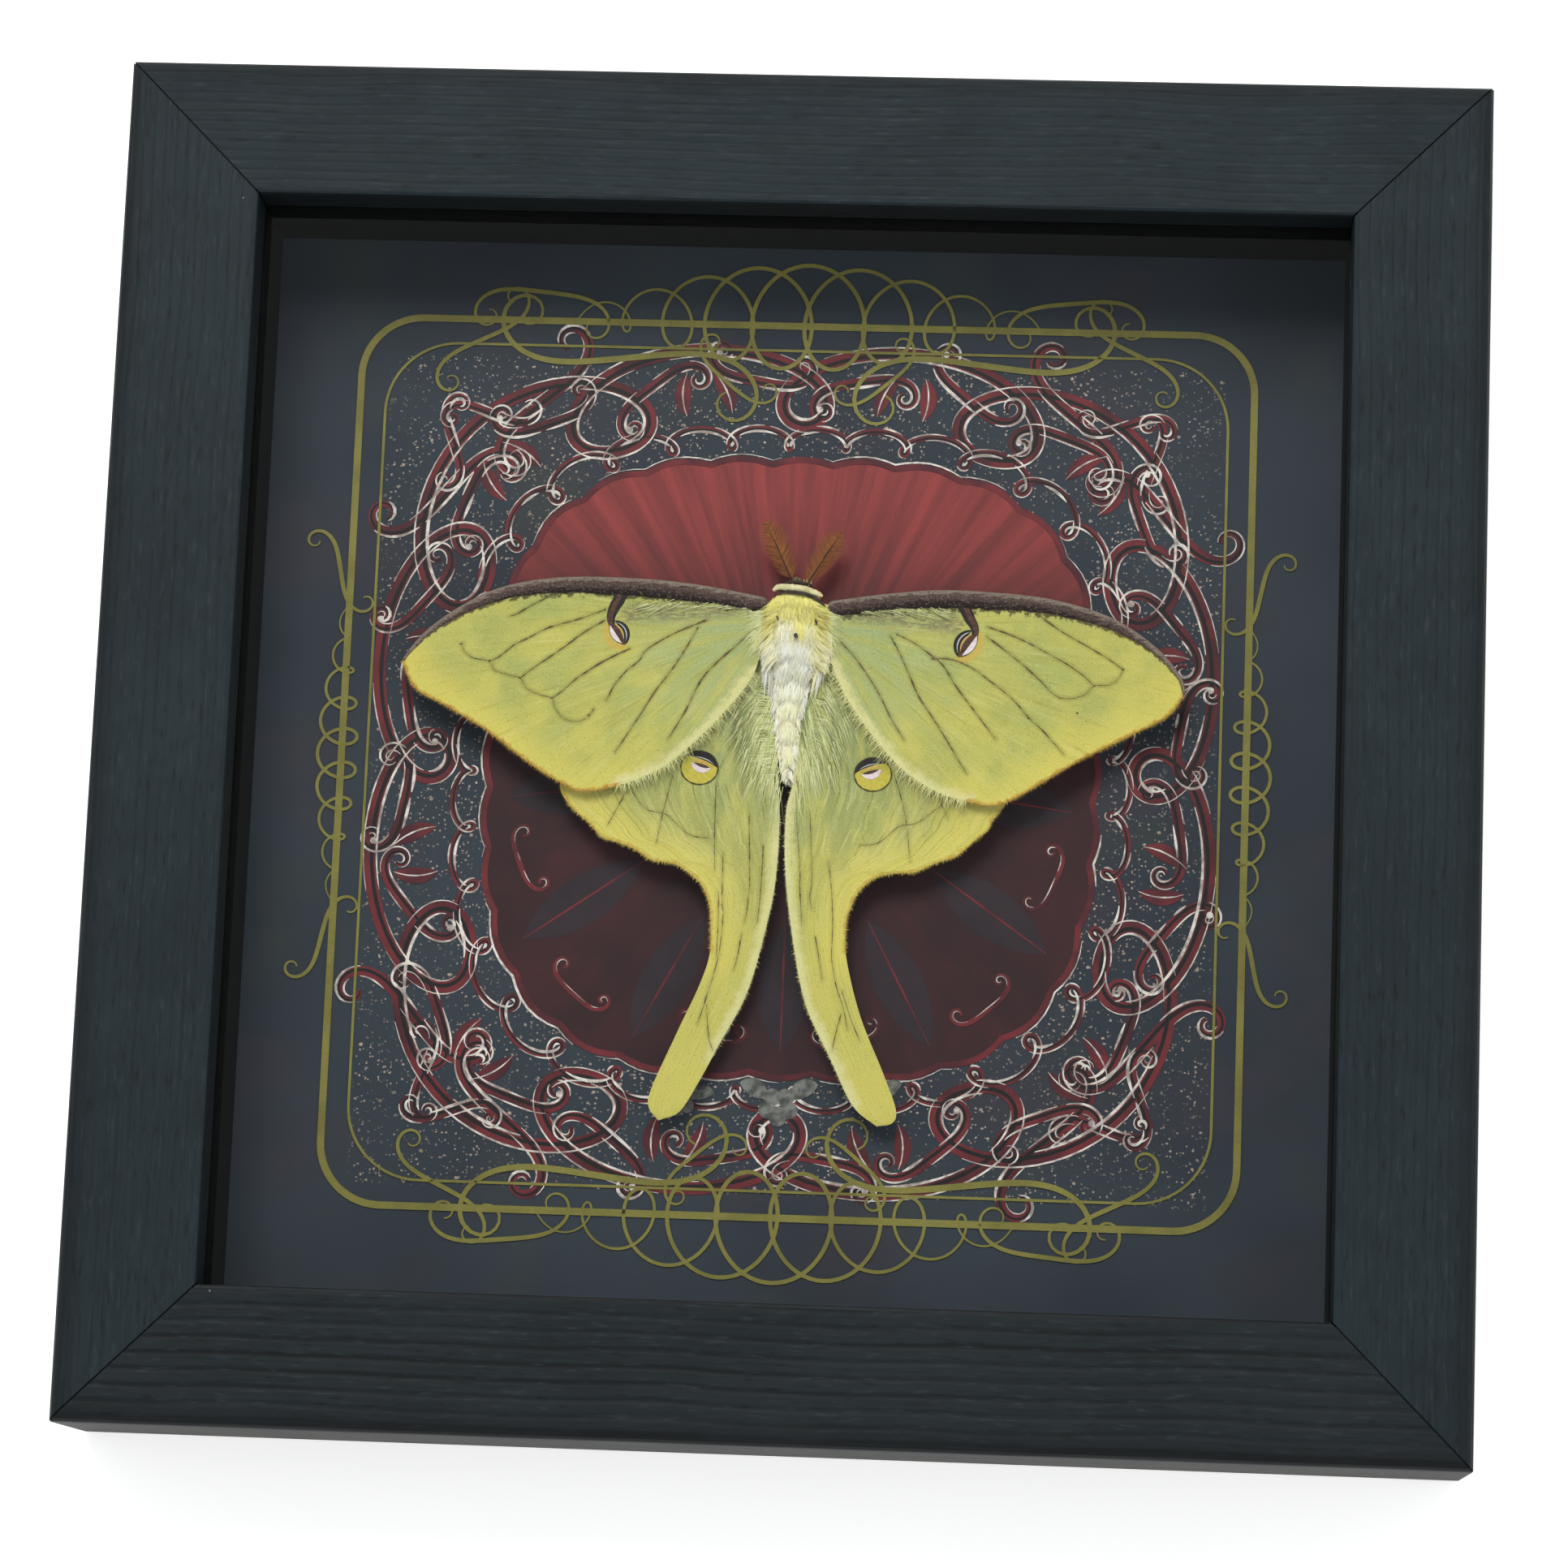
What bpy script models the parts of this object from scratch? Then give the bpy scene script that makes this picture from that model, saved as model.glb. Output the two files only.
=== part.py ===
"""A moon moth spread over a printed card, in a square glazed box frame that lies on its back.

Units are metres and +Z is up. The frame's back rim lies on z = 0, its face looks up, and the
moth's head points to +Y. The origin is the middle of the back.
"""

import math

import bmesh
import bpy
from mathutils import Vector

MM = 0.001
GAP = 0.3 * MM
WELD = 0.001 * MM
ROUND_SIDES = 12

# The frame: four mitred rails of rebated moulding.
OUTER = 177.8 * MM
RAIL_FACE = 17.8 * MM
DEPTH = 25.4 * MM
LIP_DEPTH = 5.7 * MM
REBATE = 6.0 * MM
FRONT_ROUND = 1.4 * MM
EDGE_ROUND = 0.5 * MM
HALF = OUTER / 2
SIGHT_HALF = HALF - RAIL_FACE
REBATE_HALF = SIGHT_HALF + REBATE
FILLING_HALF = REBATE_HALF - 0.5 * MM

# The layers behind the lip, counted down from the face.
GLASS = 2.0 * MM
CARD = 0.5 * MM
BOARD = 1.5 * MM
CARD_BELOW_FACE = 21.5 * MM
GLASS_TOP = DEPTH - LIP_DEPTH - GAP
GLASS_BOTTOM = GLASS_TOP - GLASS
CARD_TOP = DEPTH - CARD_BELOW_FACE
CARD_BOTTOM = CARD_TOP - CARD
BOARD_TOP = CARD_BOTTOM - GAP
BOARD_BOTTOM = BOARD_TOP - BOARD

# Steel points driven into the rebate, on the back of the board.
POINT_THICK = 0.3 * MM
POINT_LENGTH = 9.0 * MM
POINT_WIDTH = 6.5 * MM
POINT_BURIED = 4.0 * MM
POINT_SPREAD = 42.0 * MM
POINT_TOP = BOARD_BOTTOM - GAP
SLOT_WIDTH = POINT_WIDTH + 2 * GAP

# The toothed hanger, let into the back of the top rail.
HANGER_LENGTH = 38.0 * MM
HANGER_WIDTH = 6.5 * MM
HANGER_THICK = 0.8 * MM
HANGER_RISE = 1.0 * MM
HANGER_COLUMNS = 36
TOOTHED_HALF = 10.0 * MM
RAISED_HALF = 11.3 * MM
TOOTH_DEPTH = 1.4 * MM
POCKET_DEPTH = 3.0 * MM
POCKET_ROOM = 1.0 * MM
POCKET_LENGTH = HANGER_LENGTH + 2 * POCKET_ROOM
POCKET_WIDTH = HANGER_WIDTH + 2 * POCKET_ROOM
HANGER_Y = (HALF + REBATE_HALF) / 2
NAIL_X = HANGER_LENGTH / 2 - 3.5 * MM
NAIL_RADIUS = 0.5 * MM
NAIL_HEAD_RADIUS = 1.3 * MM
NAIL_HEAD = 0.5 * MM
NAIL_LENGTH = 8.0 * MM

# The moth. The body's profile is (distance along Y, half width), from the tail end to the head.
BODY_BOTTOM = CARD_TOP + GAP
BODY_PROFILE = (
    (-2.2, 0.0),
    (-2.0, 0.4),
    (-1.0, 0.65),
    (1.0, 1.0),
    (2.9, 1.3),
    (4.9, 1.6),
    (6.9, 1.9),
    (8.9, 2.15),
    (10.6, 2.4),
    (11.9, 2.75),
    (13.2, 3.35),
    (15.0, 3.75),
    (17.2, 3.85),
    (19.2, 3.8),
    (20.9, 3.6),
    (22.2, 3.15),
    (23.0, 2.85),
    (23.9, 2.2),
    (24.7, 1.55),
    (25.3, 0.85),
    (25.6, 0.0),
)
BODY_HEIGHT_RATIO = 0.92
BODY_AXIS_HEIGHT = BODY_BOTTOM + 3.56 * MM
ABDOMEN_START = 11.9 * MM
ABDOMEN_DROP = 1.0 * MM
ABDOMEN_LEAN = -0.5 * MM
BODY_SIDES = 20
EYE_RADIUS = 0.95 * MM
EYE_PLACE = (1.35 * MM, 23.9 * MM, 7.5 * MM)

# The pin through the thorax, down through the card into the board.
PIN_RADIUS = 0.25 * MM
PIN_X = 0.4 * MM
PIN_Y = 16.9 * MM
PIN_TOP = 11.9 * MM
PIN_BOTTOM = BOARD_TOP - 1.0 * MM

# Wing outlines in millimetres, seen from above. They start at the leading edge, next to the body.
WING_THICK = 0.35 * MM
FOREWING_LEFT = (
    (-4.2, 22.6), (-13.3, 23.8), (-22.5, 24.4), (-31.7, 24.2), (-39.1, 22.7), (-44.5, 19.9),
    (-48.8, 16.5), (-51.6, 12.8), (-49.6, 9.2), (-45.4, 6.9), (-40.0, 3.8), (-33.9, -0.6),
    (-29.4, -3.2), (-26.6, -4.1), (-22.1, -3.2), (-17.8, -1.4), (-14.2, 1.2), (-9.0, 6.6),
    (-5.0, 12.3), (-4.5, 17.0),
)  # fmt: skip
FOREWING_RIGHT = (
    (4.5, 22.2), (10.9, 23.0), (18.5, 23.8), (26.1, 23.7), (33.7, 23.0), (41.3, 20.9),
    (47.1, 17.3), (50.6, 13.4), (51.2, 11.0), (49.2, 8.2), (45.5, 6.0), (38.1, 2.0),
    (32.5, -1.6), (28.9, -3.8), (26.4, -4.5), (23.2, -4.0), (19.0, -2.7), (14.7, 0.1),
    (10.9, 4.2), (7.3, 9.2), (5.2, 13.5), (4.7, 17.5),
)  # fmt: skip
HINDWING_LEFT = (
    (-4.7, 15.6), (-12.0, 12.4), (-21.5, 6.4), (-28.0, 0.4), (-29.9, -3.0), (-28.6, -5.7),
    (-24.2, -9.5), (-17.6, -12.6), (-13.6, -13.4), (-10.7, -15.6), (-9.4, -19.0), (-9.4, -24.4),
    (-10.6, -28.8), (-13.2, -34.9), (-16.3, -42.4), (-16.6, -44.9), (-15.3, -46.6), (-12.6, -45.4),
    (-8.6, -38.2), (-4.4, -29.6), (-2.2, -20.8), (-1.2, -14.3), (-1.1, -5.7), (-2.0, -1.4),
    (-2.8, 3.0), (-3.3, 8.0), (-4.2, 12.4),
)  # fmt: skip
HINDWING_RIGHT = (
    (4.8, 15.2), (12.0, 12.2), (21.0, 6.2), (27.0, 0.2), (28.4, -3.4), (27.0, -6.6),
    (23.3, -10.8), (17.6, -13.0), (12.9, -13.8), (9.9, -16.0), (8.3, -19.3), (8.2, -24.1),
    (10.3, -32.0), (13.7, -39.8), (15.4, -44.2), (15.0, -46.0), (13.0, -46.5), (9.8, -43.9),
    (6.6, -37.7), (3.1, -30.5), (0.9, -20.4), (-0.1, -12.5), (-0.2, -5.7), (0.5, -2.0),
    (1.7, 2.5), (2.7, 8.0), (4.1, 12.4),
)  # fmt: skip
FOREWING_ROOT_HEIGHT = 9.0 * MM
HINDWING_ROOT_HEIGHT = 7.7 * MM
WING_CROWN = 0.5 * MM
WING_DROOP = 0.9 * MM
WING_SPAN = 52.0 * MM
TAIL_START = -13.0 * MM
TAIL_LENGTH = 34.0 * MM
TAIL_DROP = 1.3 * MM
SHEET_CELL = 4.0 * MM

# Antennae: one leaf-shaped feather on each side of the head, in its own frame, root at the origin.
ANTENNA_OUTLINE = (
    (0.0, 0.0), (0.95, 1.3), (1.8, 3.0), (2.1, 4.6), (1.5, 6.3), (0.4, 7.9),
    (-0.4, 7.9), (-1.5, 6.3), (-2.1, 4.6), (-1.8, 3.0), (-0.95, 1.3),
)  # fmt: skip
ANTENNA_THICK = 0.3 * MM
ANTENNA_HEIGHT = 7.6 * MM
ANTENNA_TILT = math.radians(4)
# Each one's root along X and Y, its turn to the left and its share of the outline's size.
ANTENNAE = {
    "left": (-0.85 * MM, 25.8 * MM, math.radians(26.5), 1.0),
    "right": (1.45 * MM, 25.25 * MM, math.radians(-33.0), 0.95),
}

# Legs: (place of the hip along Y, sweep of the knee along Y), folded flat beside the thorax.
LEG_RADIUS = 0.32 * MM
LEG_FOOT_TAPER = 0.6
LEG_HIP_GAP = 1.5 * GAP
LEG_KNEE_ROUND = 0.15
LEG_ANKLE_SHARE = 0.45
LEG_ANKLE_OUT = 0.4 * MM
LEGS = {"front": (20.2, 1.4), "middle": (17.4, -0.8), "hind": (14.9, -2.2)}
LEG_HIP_HEIGHT = 5.7 * MM
LEG_KNEE_X = 6.4 * MM
LEG_KNEE_HEIGHT = 5.9 * MM
LEG_FOOT_X = 4.6 * MM
LEG_FOOT_Y = -3.6 * MM
LEG_FOOT_HEIGHT = CARD_TOP + GAP + LEG_RADIUS

# Colours (red, green, blue, alpha), roughness and metallic value of each finish.
FINISHES = {
    "black_paint": ((0.026, 0.034, 0.041, 1.0), 0.5, 0.0),
    "clear_glass": ((0.95, 0.97, 0.96, 0.15), 0.03, 0.0),
    "black_lining": ((0.010, 0.011, 0.013, 1.0), 0.7, 0.0),
    "printed_paper": ((0.030, 0.038, 0.052, 1.0), 0.6, 0.0),
    "grey_board": ((0.32, 0.27, 0.21, 1.0), 0.85, 0.0),
    "steel": ((0.55, 0.55, 0.54, 1.0), 0.35, 1.0),
    "moth_fur": ((0.80, 0.78, 0.52, 1.0), 0.95, 0.0),
    "wing_scales": ((0.52, 0.58, 0.12, 1.0), 0.85, 0.0),
    "antenna_brown": ((0.16, 0.10, 0.03, 1.0), 0.8, 0.0),
    "leg_brown": ((0.14, 0.07, 0.06, 1.0), 0.8, 0.0),
}


def clear_scene():
    for obj in list(bpy.data.objects):
        bpy.data.objects.remove(obj, do_unlink=True)


def new_collection(name):
    collection = bpy.data.collections.new(name)
    bpy.context.scene.collection.children.link(collection)
    return collection


def finish(name):
    """The named material, made on its first use."""
    if name in bpy.data.materials:
        return bpy.data.materials[name]
    colour, roughness, metallic = FINISHES[name]
    material = bpy.data.materials.new(name)
    material.use_nodes = True
    shader = material.node_tree.nodes["Principled BSDF"]
    shader.inputs["Base Color"].default_value = colour
    shader.inputs["Alpha"].default_value = colour[3]
    shader.inputs["Roughness"].default_value = roughness
    shader.inputs["Metallic"].default_value = metallic
    return material


def add_mesh(name, shape, finish_name, collection, parent=None):
    """Turns a bmesh into an object of the collection, and frees the bmesh."""
    mesh = bpy.data.meshes.new(name)
    shape.to_mesh(mesh)
    shape.free()
    obj = bpy.data.objects.new(name, mesh)
    collection.objects.link(obj)
    obj.parent = parent
    if finish_name:
        mesh.materials.append(finish(finish_name))
    else:
        obj.hide_render = True
        obj.display_type = "WIRE"
    return obj


def box(low, high):
    """A bmesh box between two corners."""
    low, high = Vector(low), Vector(high)
    shape = bmesh.new()
    bmesh.ops.create_cube(shape, size=1.0)
    bmesh.ops.scale(shape, vec=high - low, verts=shape.verts)
    bmesh.ops.translate(shape, vec=(low + high) / 2, verts=shape.verts)
    return shape


def rod(radius, bottom, top, x, y):
    """A bmesh cylinder that stands at (x, y)."""
    shape = bmesh.new()
    bmesh.ops.create_cone(
        shape, cap_ends=True, segments=ROUND_SIDES, radius1=radius, radius2=radius, depth=top - bottom
    )
    bmesh.ops.translate(shape, vec=(x, y, (top + bottom) / 2), verts=shape.verts)
    return shape


def cut(obj, cutter, operation="DIFFERENCE"):
    modifier = obj.modifiers.new(cutter.name, "BOOLEAN")
    modifier.object = cutter
    modifier.operation = operation


def as_mesh(curve_object):
    """Replaces a curve object by a welded mesh of the same shape, so that it can be cut."""
    bpy.context.view_layer.update()
    evaluated = curve_object.evaluated_get(bpy.context.evaluated_depsgraph_get())
    mesh = bpy.data.meshes.new_from_object(evaluated)
    shape = bmesh.new()
    shape.from_mesh(mesh)
    bmesh.ops.remove_doubles(shape, verts=shape.verts, dist=WELD)
    bmesh.ops.recalc_face_normals(shape, faces=shape.faces)
    shape.to_mesh(mesh)
    shape.free()
    name = curve_object.name
    result = bpy.data.objects.new(name, mesh)
    result.matrix_world = curve_object.matrix_world
    result.hide_render = curve_object.hide_render
    result.display_type = curve_object.display_type
    curve_object.users_collection[0].objects.link(result)
    bpy.data.objects.remove(curve_object, do_unlink=True)
    result.name = name
    return result


def mitre(shape):
    """Cuts both ends of a strip that runs along the bottom side, half a gap short of the diagonals."""
    for side in (1, -1):
        geometry = shape.verts[:] + shape.edges[:] + shape.faces[:]
        made = bmesh.ops.bisect_plane(
            shape, geom=geometry, plane_co=(0, -GAP / 2, 0), plane_no=(side, 1, 0), clear_outer=True
        )
        rim = [item for item in made["geom_cut"] if isinstance(item, bmesh.types.BMEdge)]
        bmesh.ops.holes_fill(shape, edges=rim)
    bmesh.ops.recalc_face_normals(shape, faces=shape.faces)


def soften(shape, y, z, offset, segments):
    """Rounds the edges that run along X at the given y and z."""
    edges = [
        edge
        for edge in shape.edges
        if all(abs(v.co.y - y) < WELD and abs(v.co.z - z) < WELD for v in edge.verts)
    ]
    bmesh.ops.bevel(
        shape, geom=edges, offset=offset, segments=segments, profile=0.5, affect="EDGES", material=-1
    )


def build_rail(side, turn, parts, cutters):
    """One mitred rail, with its rebate and the slots of its two points."""
    shape = box((-HALF, -HALF, 0), (HALF, -SIGHT_HALF, DEPTH))
    soften(shape, -HALF, DEPTH, FRONT_ROUND, 4)
    soften(shape, -SIGHT_HALF, DEPTH, EDGE_ROUND, 2)
    soften(shape, -HALF, 0, EDGE_ROUND, 2)
    mitre(shape)
    rail = add_mesh("rail_" + side, shape, "black_paint", parts, turn)
    low = (-OUTER, -REBATE_HALF, -MM)
    high = (OUTER, 0, DEPTH - LIP_DEPTH)
    rebate = add_mesh("rebate_" + side, box(low, high), None, cutters, turn)
    cut(rail, rebate)
    for number, x in enumerate((-POINT_SPREAD, POINT_SPREAD), 1):
        low = (x - SLOT_WIDTH / 2, -REBATE_HALF - POINT_BURIED - GAP, POINT_TOP - POINT_THICK - GAP)
        high = (x + SLOT_WIDTH / 2, -REBATE_HALF + MM, POINT_TOP + GAP)
        slot = add_mesh(f"slot_{side}_{number}", box(low, high), None, cutters, turn)
        cut(rail, slot)
    return rail


def build_spacer(side, turn, parts):
    low = (-HALF, -FILLING_HALF, CARD_TOP + GAP)
    high = (HALF, -SIGHT_HALF, GLASS_BOTTOM - GAP)
    shape = box(low, high)
    mitre(shape)
    add_mesh("spacer_" + side, shape, "black_lining", parts, turn)


def build_point(number, x, turn, parts):
    """A flat steel point: a narrow hexagon, half of it in the rail."""
    shape = bmesh.new()
    bmesh.ops.create_cone(
        shape,
        cap_ends=True,
        segments=6,
        radius1=POINT_LENGTH / 2,
        radius2=POINT_LENGTH / 2,
        depth=POINT_THICK,
    )
    squeeze = POINT_WIDTH / (POINT_LENGTH * math.cos(math.pi / 6))
    bmesh.ops.scale(shape, vec=(squeeze, 1, 1), verts=shape.verts)
    y = -REBATE_HALF - POINT_BURIED + POINT_LENGTH / 2
    bmesh.ops.translate(shape, vec=(x, y, POINT_TOP - POINT_THICK / 2), verts=shape.verts)
    add_mesh(f"glazing_point_{number}", shape, "steel", parts, turn)


def build_frame(parts, cutters):
    """The four sides, each made for the bottom and turned into its place by an empty."""
    rails = {}
    for quarter, side in enumerate(("bottom", "right", "top", "left")):
        turn = bpy.data.objects.new("turn_" + side, None)
        turn.rotation_euler.z = quarter * math.pi / 2
        parts.objects.link(turn)
        rails[side] = build_rail(side, turn, parts, cutters)
        build_spacer(side, turn, parts)
        for place, x in enumerate((-POINT_SPREAD, POINT_SPREAD), 1):
            build_point(2 * quarter + place, x, turn, parts)
    return rails


def build_layers(parts, cutters):
    """The glass, the card and the board, with the pin's holes in the last two."""
    half = FILLING_HALF
    add_mesh("glass", box((-half, -half, GLASS_BOTTOM), (half, half, GLASS_TOP)), "clear_glass", parts)
    card_box = box((-half, -half, CARD_BOTTOM), (half, half, CARD_TOP))
    card = add_mesh("printed_card", card_box, "printed_paper", parts)
    board_box = box((-half, -half, BOARD_BOTTOM), (half, half, BOARD_TOP))
    board = add_mesh("back_board", board_box, "grey_board", parts)
    hole_shape = rod(PIN_RADIUS + GAP, PIN_BOTTOM - GAP, PIN_TOP + MM, PIN_X, PIN_Y)
    hole = add_mesh("pin_hole", hole_shape, None, cutters)
    cut(card, hole)
    cut(board, hole)
    pin = rod(PIN_RADIUS, PIN_BOTTOM, PIN_TOP, PIN_X, PIN_Y)
    add_mesh("mounting_pin", pin, "steel", parts)
    return hole


def build_hanger(rail_top, parts, cutters):
    """The toothed strip in its pocket, nailed at both ends, with its middle bent off the wood."""
    low = (-POCKET_LENGTH / 2, HANGER_Y - POCKET_WIDTH / 2, -MM)
    high = (POCKET_LENGTH / 2, HANGER_Y + POCKET_WIDTH / 2, POCKET_DEPTH)
    cut(rail_top, add_mesh("hanger_pocket", box(low, high), None, cutters))

    shape = bmesh.new()
    bmesh.ops.create_grid(shape, x_segments=HANGER_COLUMNS, y_segments=1, size=0.5)
    top = POCKET_DEPTH - GAP
    for vertex in shape.verts:
        x = vertex.co.x * HANGER_LENGTH
        y = HANGER_Y + vertex.co.y * HANGER_WIDTH
        column = round((vertex.co.x + 0.5) * HANGER_COLUMNS)
        if vertex.co.y < 0 and column % 2 and abs(x) < TOOTHED_HALF:
            y += TOOTH_DEPTH
        vertex.co = (x, y, top - (HANGER_RISE if abs(x) < RAISED_HALF else 0))
    strip = add_mesh("hanger", shape, "steel", parts)
    plate = strip.modifiers.new("plate", "SOLIDIFY")
    plate.thickness = HANGER_THICK
    plate.offset = -1
    for side, x in (("left", -NAIL_X), ("right", NAIL_X)):
        hole_shape = rod(NAIL_RADIUS + GAP, -MM, NAIL_LENGTH + GAP, x, HANGER_Y)
        hole = add_mesh("nail_hole_" + side, hole_shape, None, cutters)
        cut(strip, hole)
        cut(rail_top, hole)
        build_nail("hanger_nail_" + side, x, top - HANGER_THICK - GAP, parts)


def build_nail(name, x, head_top, parts):
    """A nail that points up into the wood: a turned profile, round its own axis."""
    profile = (
        (0.0, NAIL_LENGTH),
        (NAIL_RADIUS, NAIL_LENGTH - 1.5 * NAIL_RADIUS),
        (NAIL_RADIUS, head_top),
        (NAIL_HEAD_RADIUS, head_top),
        (NAIL_HEAD_RADIUS, head_top - NAIL_HEAD),
        (0.0, head_top - NAIL_HEAD),
    )
    obj = turned(name, profile, ROUND_SIDES, "steel", parts)
    obj.location = (x, HANGER_Y, 0)


def turned(name, profile, steps, finish_name, collection):
    """A closed solid turned round Z from (radius, height) points that run from top to bottom."""
    shape = bmesh.new()
    verts = [shape.verts.new((radius, 0, height)) for radius, height in profile]
    for first, second in zip(verts, verts[1:]):
        shape.edges.new((first, second))
    obj = add_mesh(name, shape, finish_name, collection)
    screw = obj.modifiers.new("turn", "SCREW")
    screw.steps = steps
    screw.render_steps = steps
    screw.use_merge_vertices = True
    screw.merge_threshold = WELD
    return obj


def body_centre(y):
    """How far the body's middle line lies from the thorax's, in X and Z, at a place along it."""
    share = max(0.0, (ABDOMEN_START - y) / (ABDOMEN_START - BODY_PROFILE[0][0] * MM))
    return ABDOMEN_LEAN * math.sin(math.pi * share), -ABDOMEN_DROP * share


def build_body(pin_hole, parts, cutters):
    """Head, thorax and abdomen as one turned form, a little flat, with the two eyes joined on."""
    shape = bmesh.new()
    verts = [shape.verts.new((width * MM, y * MM, 0)) for y, width in BODY_PROFILE]
    line = [shape.edges.new(pair) for pair in zip(verts, verts[1:])]
    bmesh.ops.spin(
        shape,
        geom=verts + line,
        cent=(0, 0, 0),
        axis=(0, 1, 0),
        angle=2 * math.pi,
        steps=BODY_SIDES,
        use_merge=True,
    )
    bmesh.ops.remove_doubles(shape, verts=shape.verts, dist=WELD)
    bmesh.ops.recalc_face_normals(shape, faces=shape.faces)
    for vertex in shape.verts:
        lean, drop = body_centre(vertex.co.y)
        vertex.co.x += lean
        vertex.co.z = vertex.co.z * BODY_HEIGHT_RATIO + BODY_AXIS_HEIGHT + drop
    body = add_mesh("moth_body", shape, "moth_fur", parts)
    for side, sign in (("left", -1), ("right", 1)):
        eye = bmesh.new()
        bmesh.ops.create_uvsphere(eye, u_segments=ROUND_SIDES, v_segments=8, radius=EYE_RADIUS)
        x, y, z = EYE_PLACE
        bmesh.ops.translate(eye, vec=(sign * x, y, z), verts=eye.verts)
        cut(body, add_mesh("eye_" + side, eye, None, cutters), "UNION")
    cut(body, pin_hole)


def outline_prism(name, points, low, high, cutters):
    """A closed prism whose plan is a smooth closed curve through the points, in millimetres."""
    curve = bpy.data.curves.new(name, "CURVE")
    curve.dimensions = "2D"
    curve.fill_mode = "BOTH"
    curve.extrude = (high - low) / 2
    curve.resolution_u = 3
    spline = curve.splines.new("BEZIER")
    spline.bezier_points.add(len(points) - 1)
    spline.use_cyclic_u = True
    for knot, (x, y) in zip(spline.bezier_points, points):
        knot.co = (x * MM, y * MM, 0)
        knot.handle_left_type = knot.handle_right_type = "AUTO"
    obj = bpy.data.objects.new(name, curve)
    obj.location.z = (low + high) / 2
    obj.hide_render = True
    obj.display_type = "WIRE"
    cutters.objects.link(obj)
    return as_mesh(obj)


def wing_height(x, y, root_height):
    """Height of a wing's middle over a place in plan: crowned near the body, drooping to its end."""
    out = min(1.0, abs(x) / WING_SPAN)
    back = max(0.0, (TAIL_START - y) / TAIL_LENGTH)
    return root_height + WING_CROWN * math.sin(math.pi * out) - WING_DROOP * out**2 - TAIL_DROP * back


def build_wing(name, points, root_height, parts, cutters):
    """A cambered sheet, cut to the wing's outline."""
    xs = [x * MM for x, y in points]
    ys = [y * MM for x, y in points]
    low = Vector((min(xs) - MM, min(ys) - MM))
    high = Vector((max(xs) + MM, max(ys) + MM))
    shape = bmesh.new()
    bmesh.ops.create_grid(
        shape,
        x_segments=math.ceil((high.x - low.x) / SHEET_CELL),
        y_segments=math.ceil((high.y - low.y) / SHEET_CELL),
        size=0.5,
    )
    for vertex in shape.verts:
        x = low.x + (vertex.co.x + 0.5) * (high.x - low.x)
        y = low.y + (vertex.co.y + 0.5) * (high.y - low.y)
        vertex.co = (x, y, wing_height(x, y, root_height))
    wing = add_mesh(name, shape, "wing_scales", parts)
    sheet = wing.modifiers.new("sheet", "SOLIDIFY")
    sheet.thickness = WING_THICK
    sheet.offset = 0
    cut(wing, outline_prism(name + "_outline", points, 0, DEPTH, cutters), "INTERSECT")


def build_antenna(side, parts, cutters):
    """One feather of leaf shape, its root a gap away from the head."""
    root_x, root_y, turn, size = ANTENNAE[side]
    outline = [(x * size, y * size) for x, y in ANTENNA_OUTLINE]
    half = ANTENNA_THICK / 2
    leaf = outline_prism("antenna_" + side, outline, -half, half, cutters)
    leaf.location = (root_x, root_y, ANTENNA_HEIGHT)
    leaf.rotation_euler = (ANTENNA_TILT, 0, turn)
    leaf.hide_render = False
    leaf.display_type = "TEXTURED"
    cutters.objects.unlink(leaf)
    parts.objects.link(leaf)
    leaf.data.materials.append(finish("antenna_brown"))


def thorax_side(y, z):
    """How far the body's side lies from the middle plane, at a place along it and a height."""
    for (low, low_width), (high, high_width) in zip(BODY_PROFILE, BODY_PROFILE[1:]):
        if low * MM <= y <= high * MM:
            share = (y / MM - low) / (high - low)
            width = (low_width + share * (high_width - low_width)) * MM
            lift = (z - BODY_AXIS_HEIGHT) / BODY_HEIGHT_RATIO
            return math.sqrt(width**2 - lift**2)
    return 0.0


def build_leg(name, sign, hip_y, sweep, parts):
    """A folded leg: out from the thorax to the knee, then back in to the foot on the card."""
    curve = bpy.data.curves.new(name, "CURVE")
    curve.dimensions = "3D"
    curve.bevel_depth = LEG_RADIUS
    curve.bevel_resolution = 1
    curve.use_fill_caps = True
    hip = Vector((thorax_side(hip_y, LEG_HIP_HEIGHT) + LEG_HIP_GAP, hip_y, LEG_HIP_HEIGHT))
    knee = Vector((LEG_KNEE_X, hip_y + sweep, LEG_KNEE_HEIGHT))
    foot = Vector((LEG_FOOT_X, knee.y + LEG_FOOT_Y, LEG_FOOT_HEIGHT))
    ankle = foot.lerp(knee, LEG_ANKLE_SHARE) + Vector((LEG_ANKLE_OUT, 0, 0))
    places = (hip, knee.lerp(hip, LEG_KNEE_ROUND), knee.lerp(ankle, LEG_KNEE_ROUND), ankle, foot)
    spline = curve.splines.new("POLY")
    spline.points.add(len(places) - 1)
    for number, (point, place) in enumerate(zip(spline.points, places)):
        point.co = (sign * place.x, place.y, place.z, 1)
        point.radius = 1 - (1 - LEG_FOOT_TAPER) * number / (len(places) - 1)
    curve.materials.append(finish("leg_brown"))
    parts.objects.link(bpy.data.objects.new(name, curve))


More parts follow.
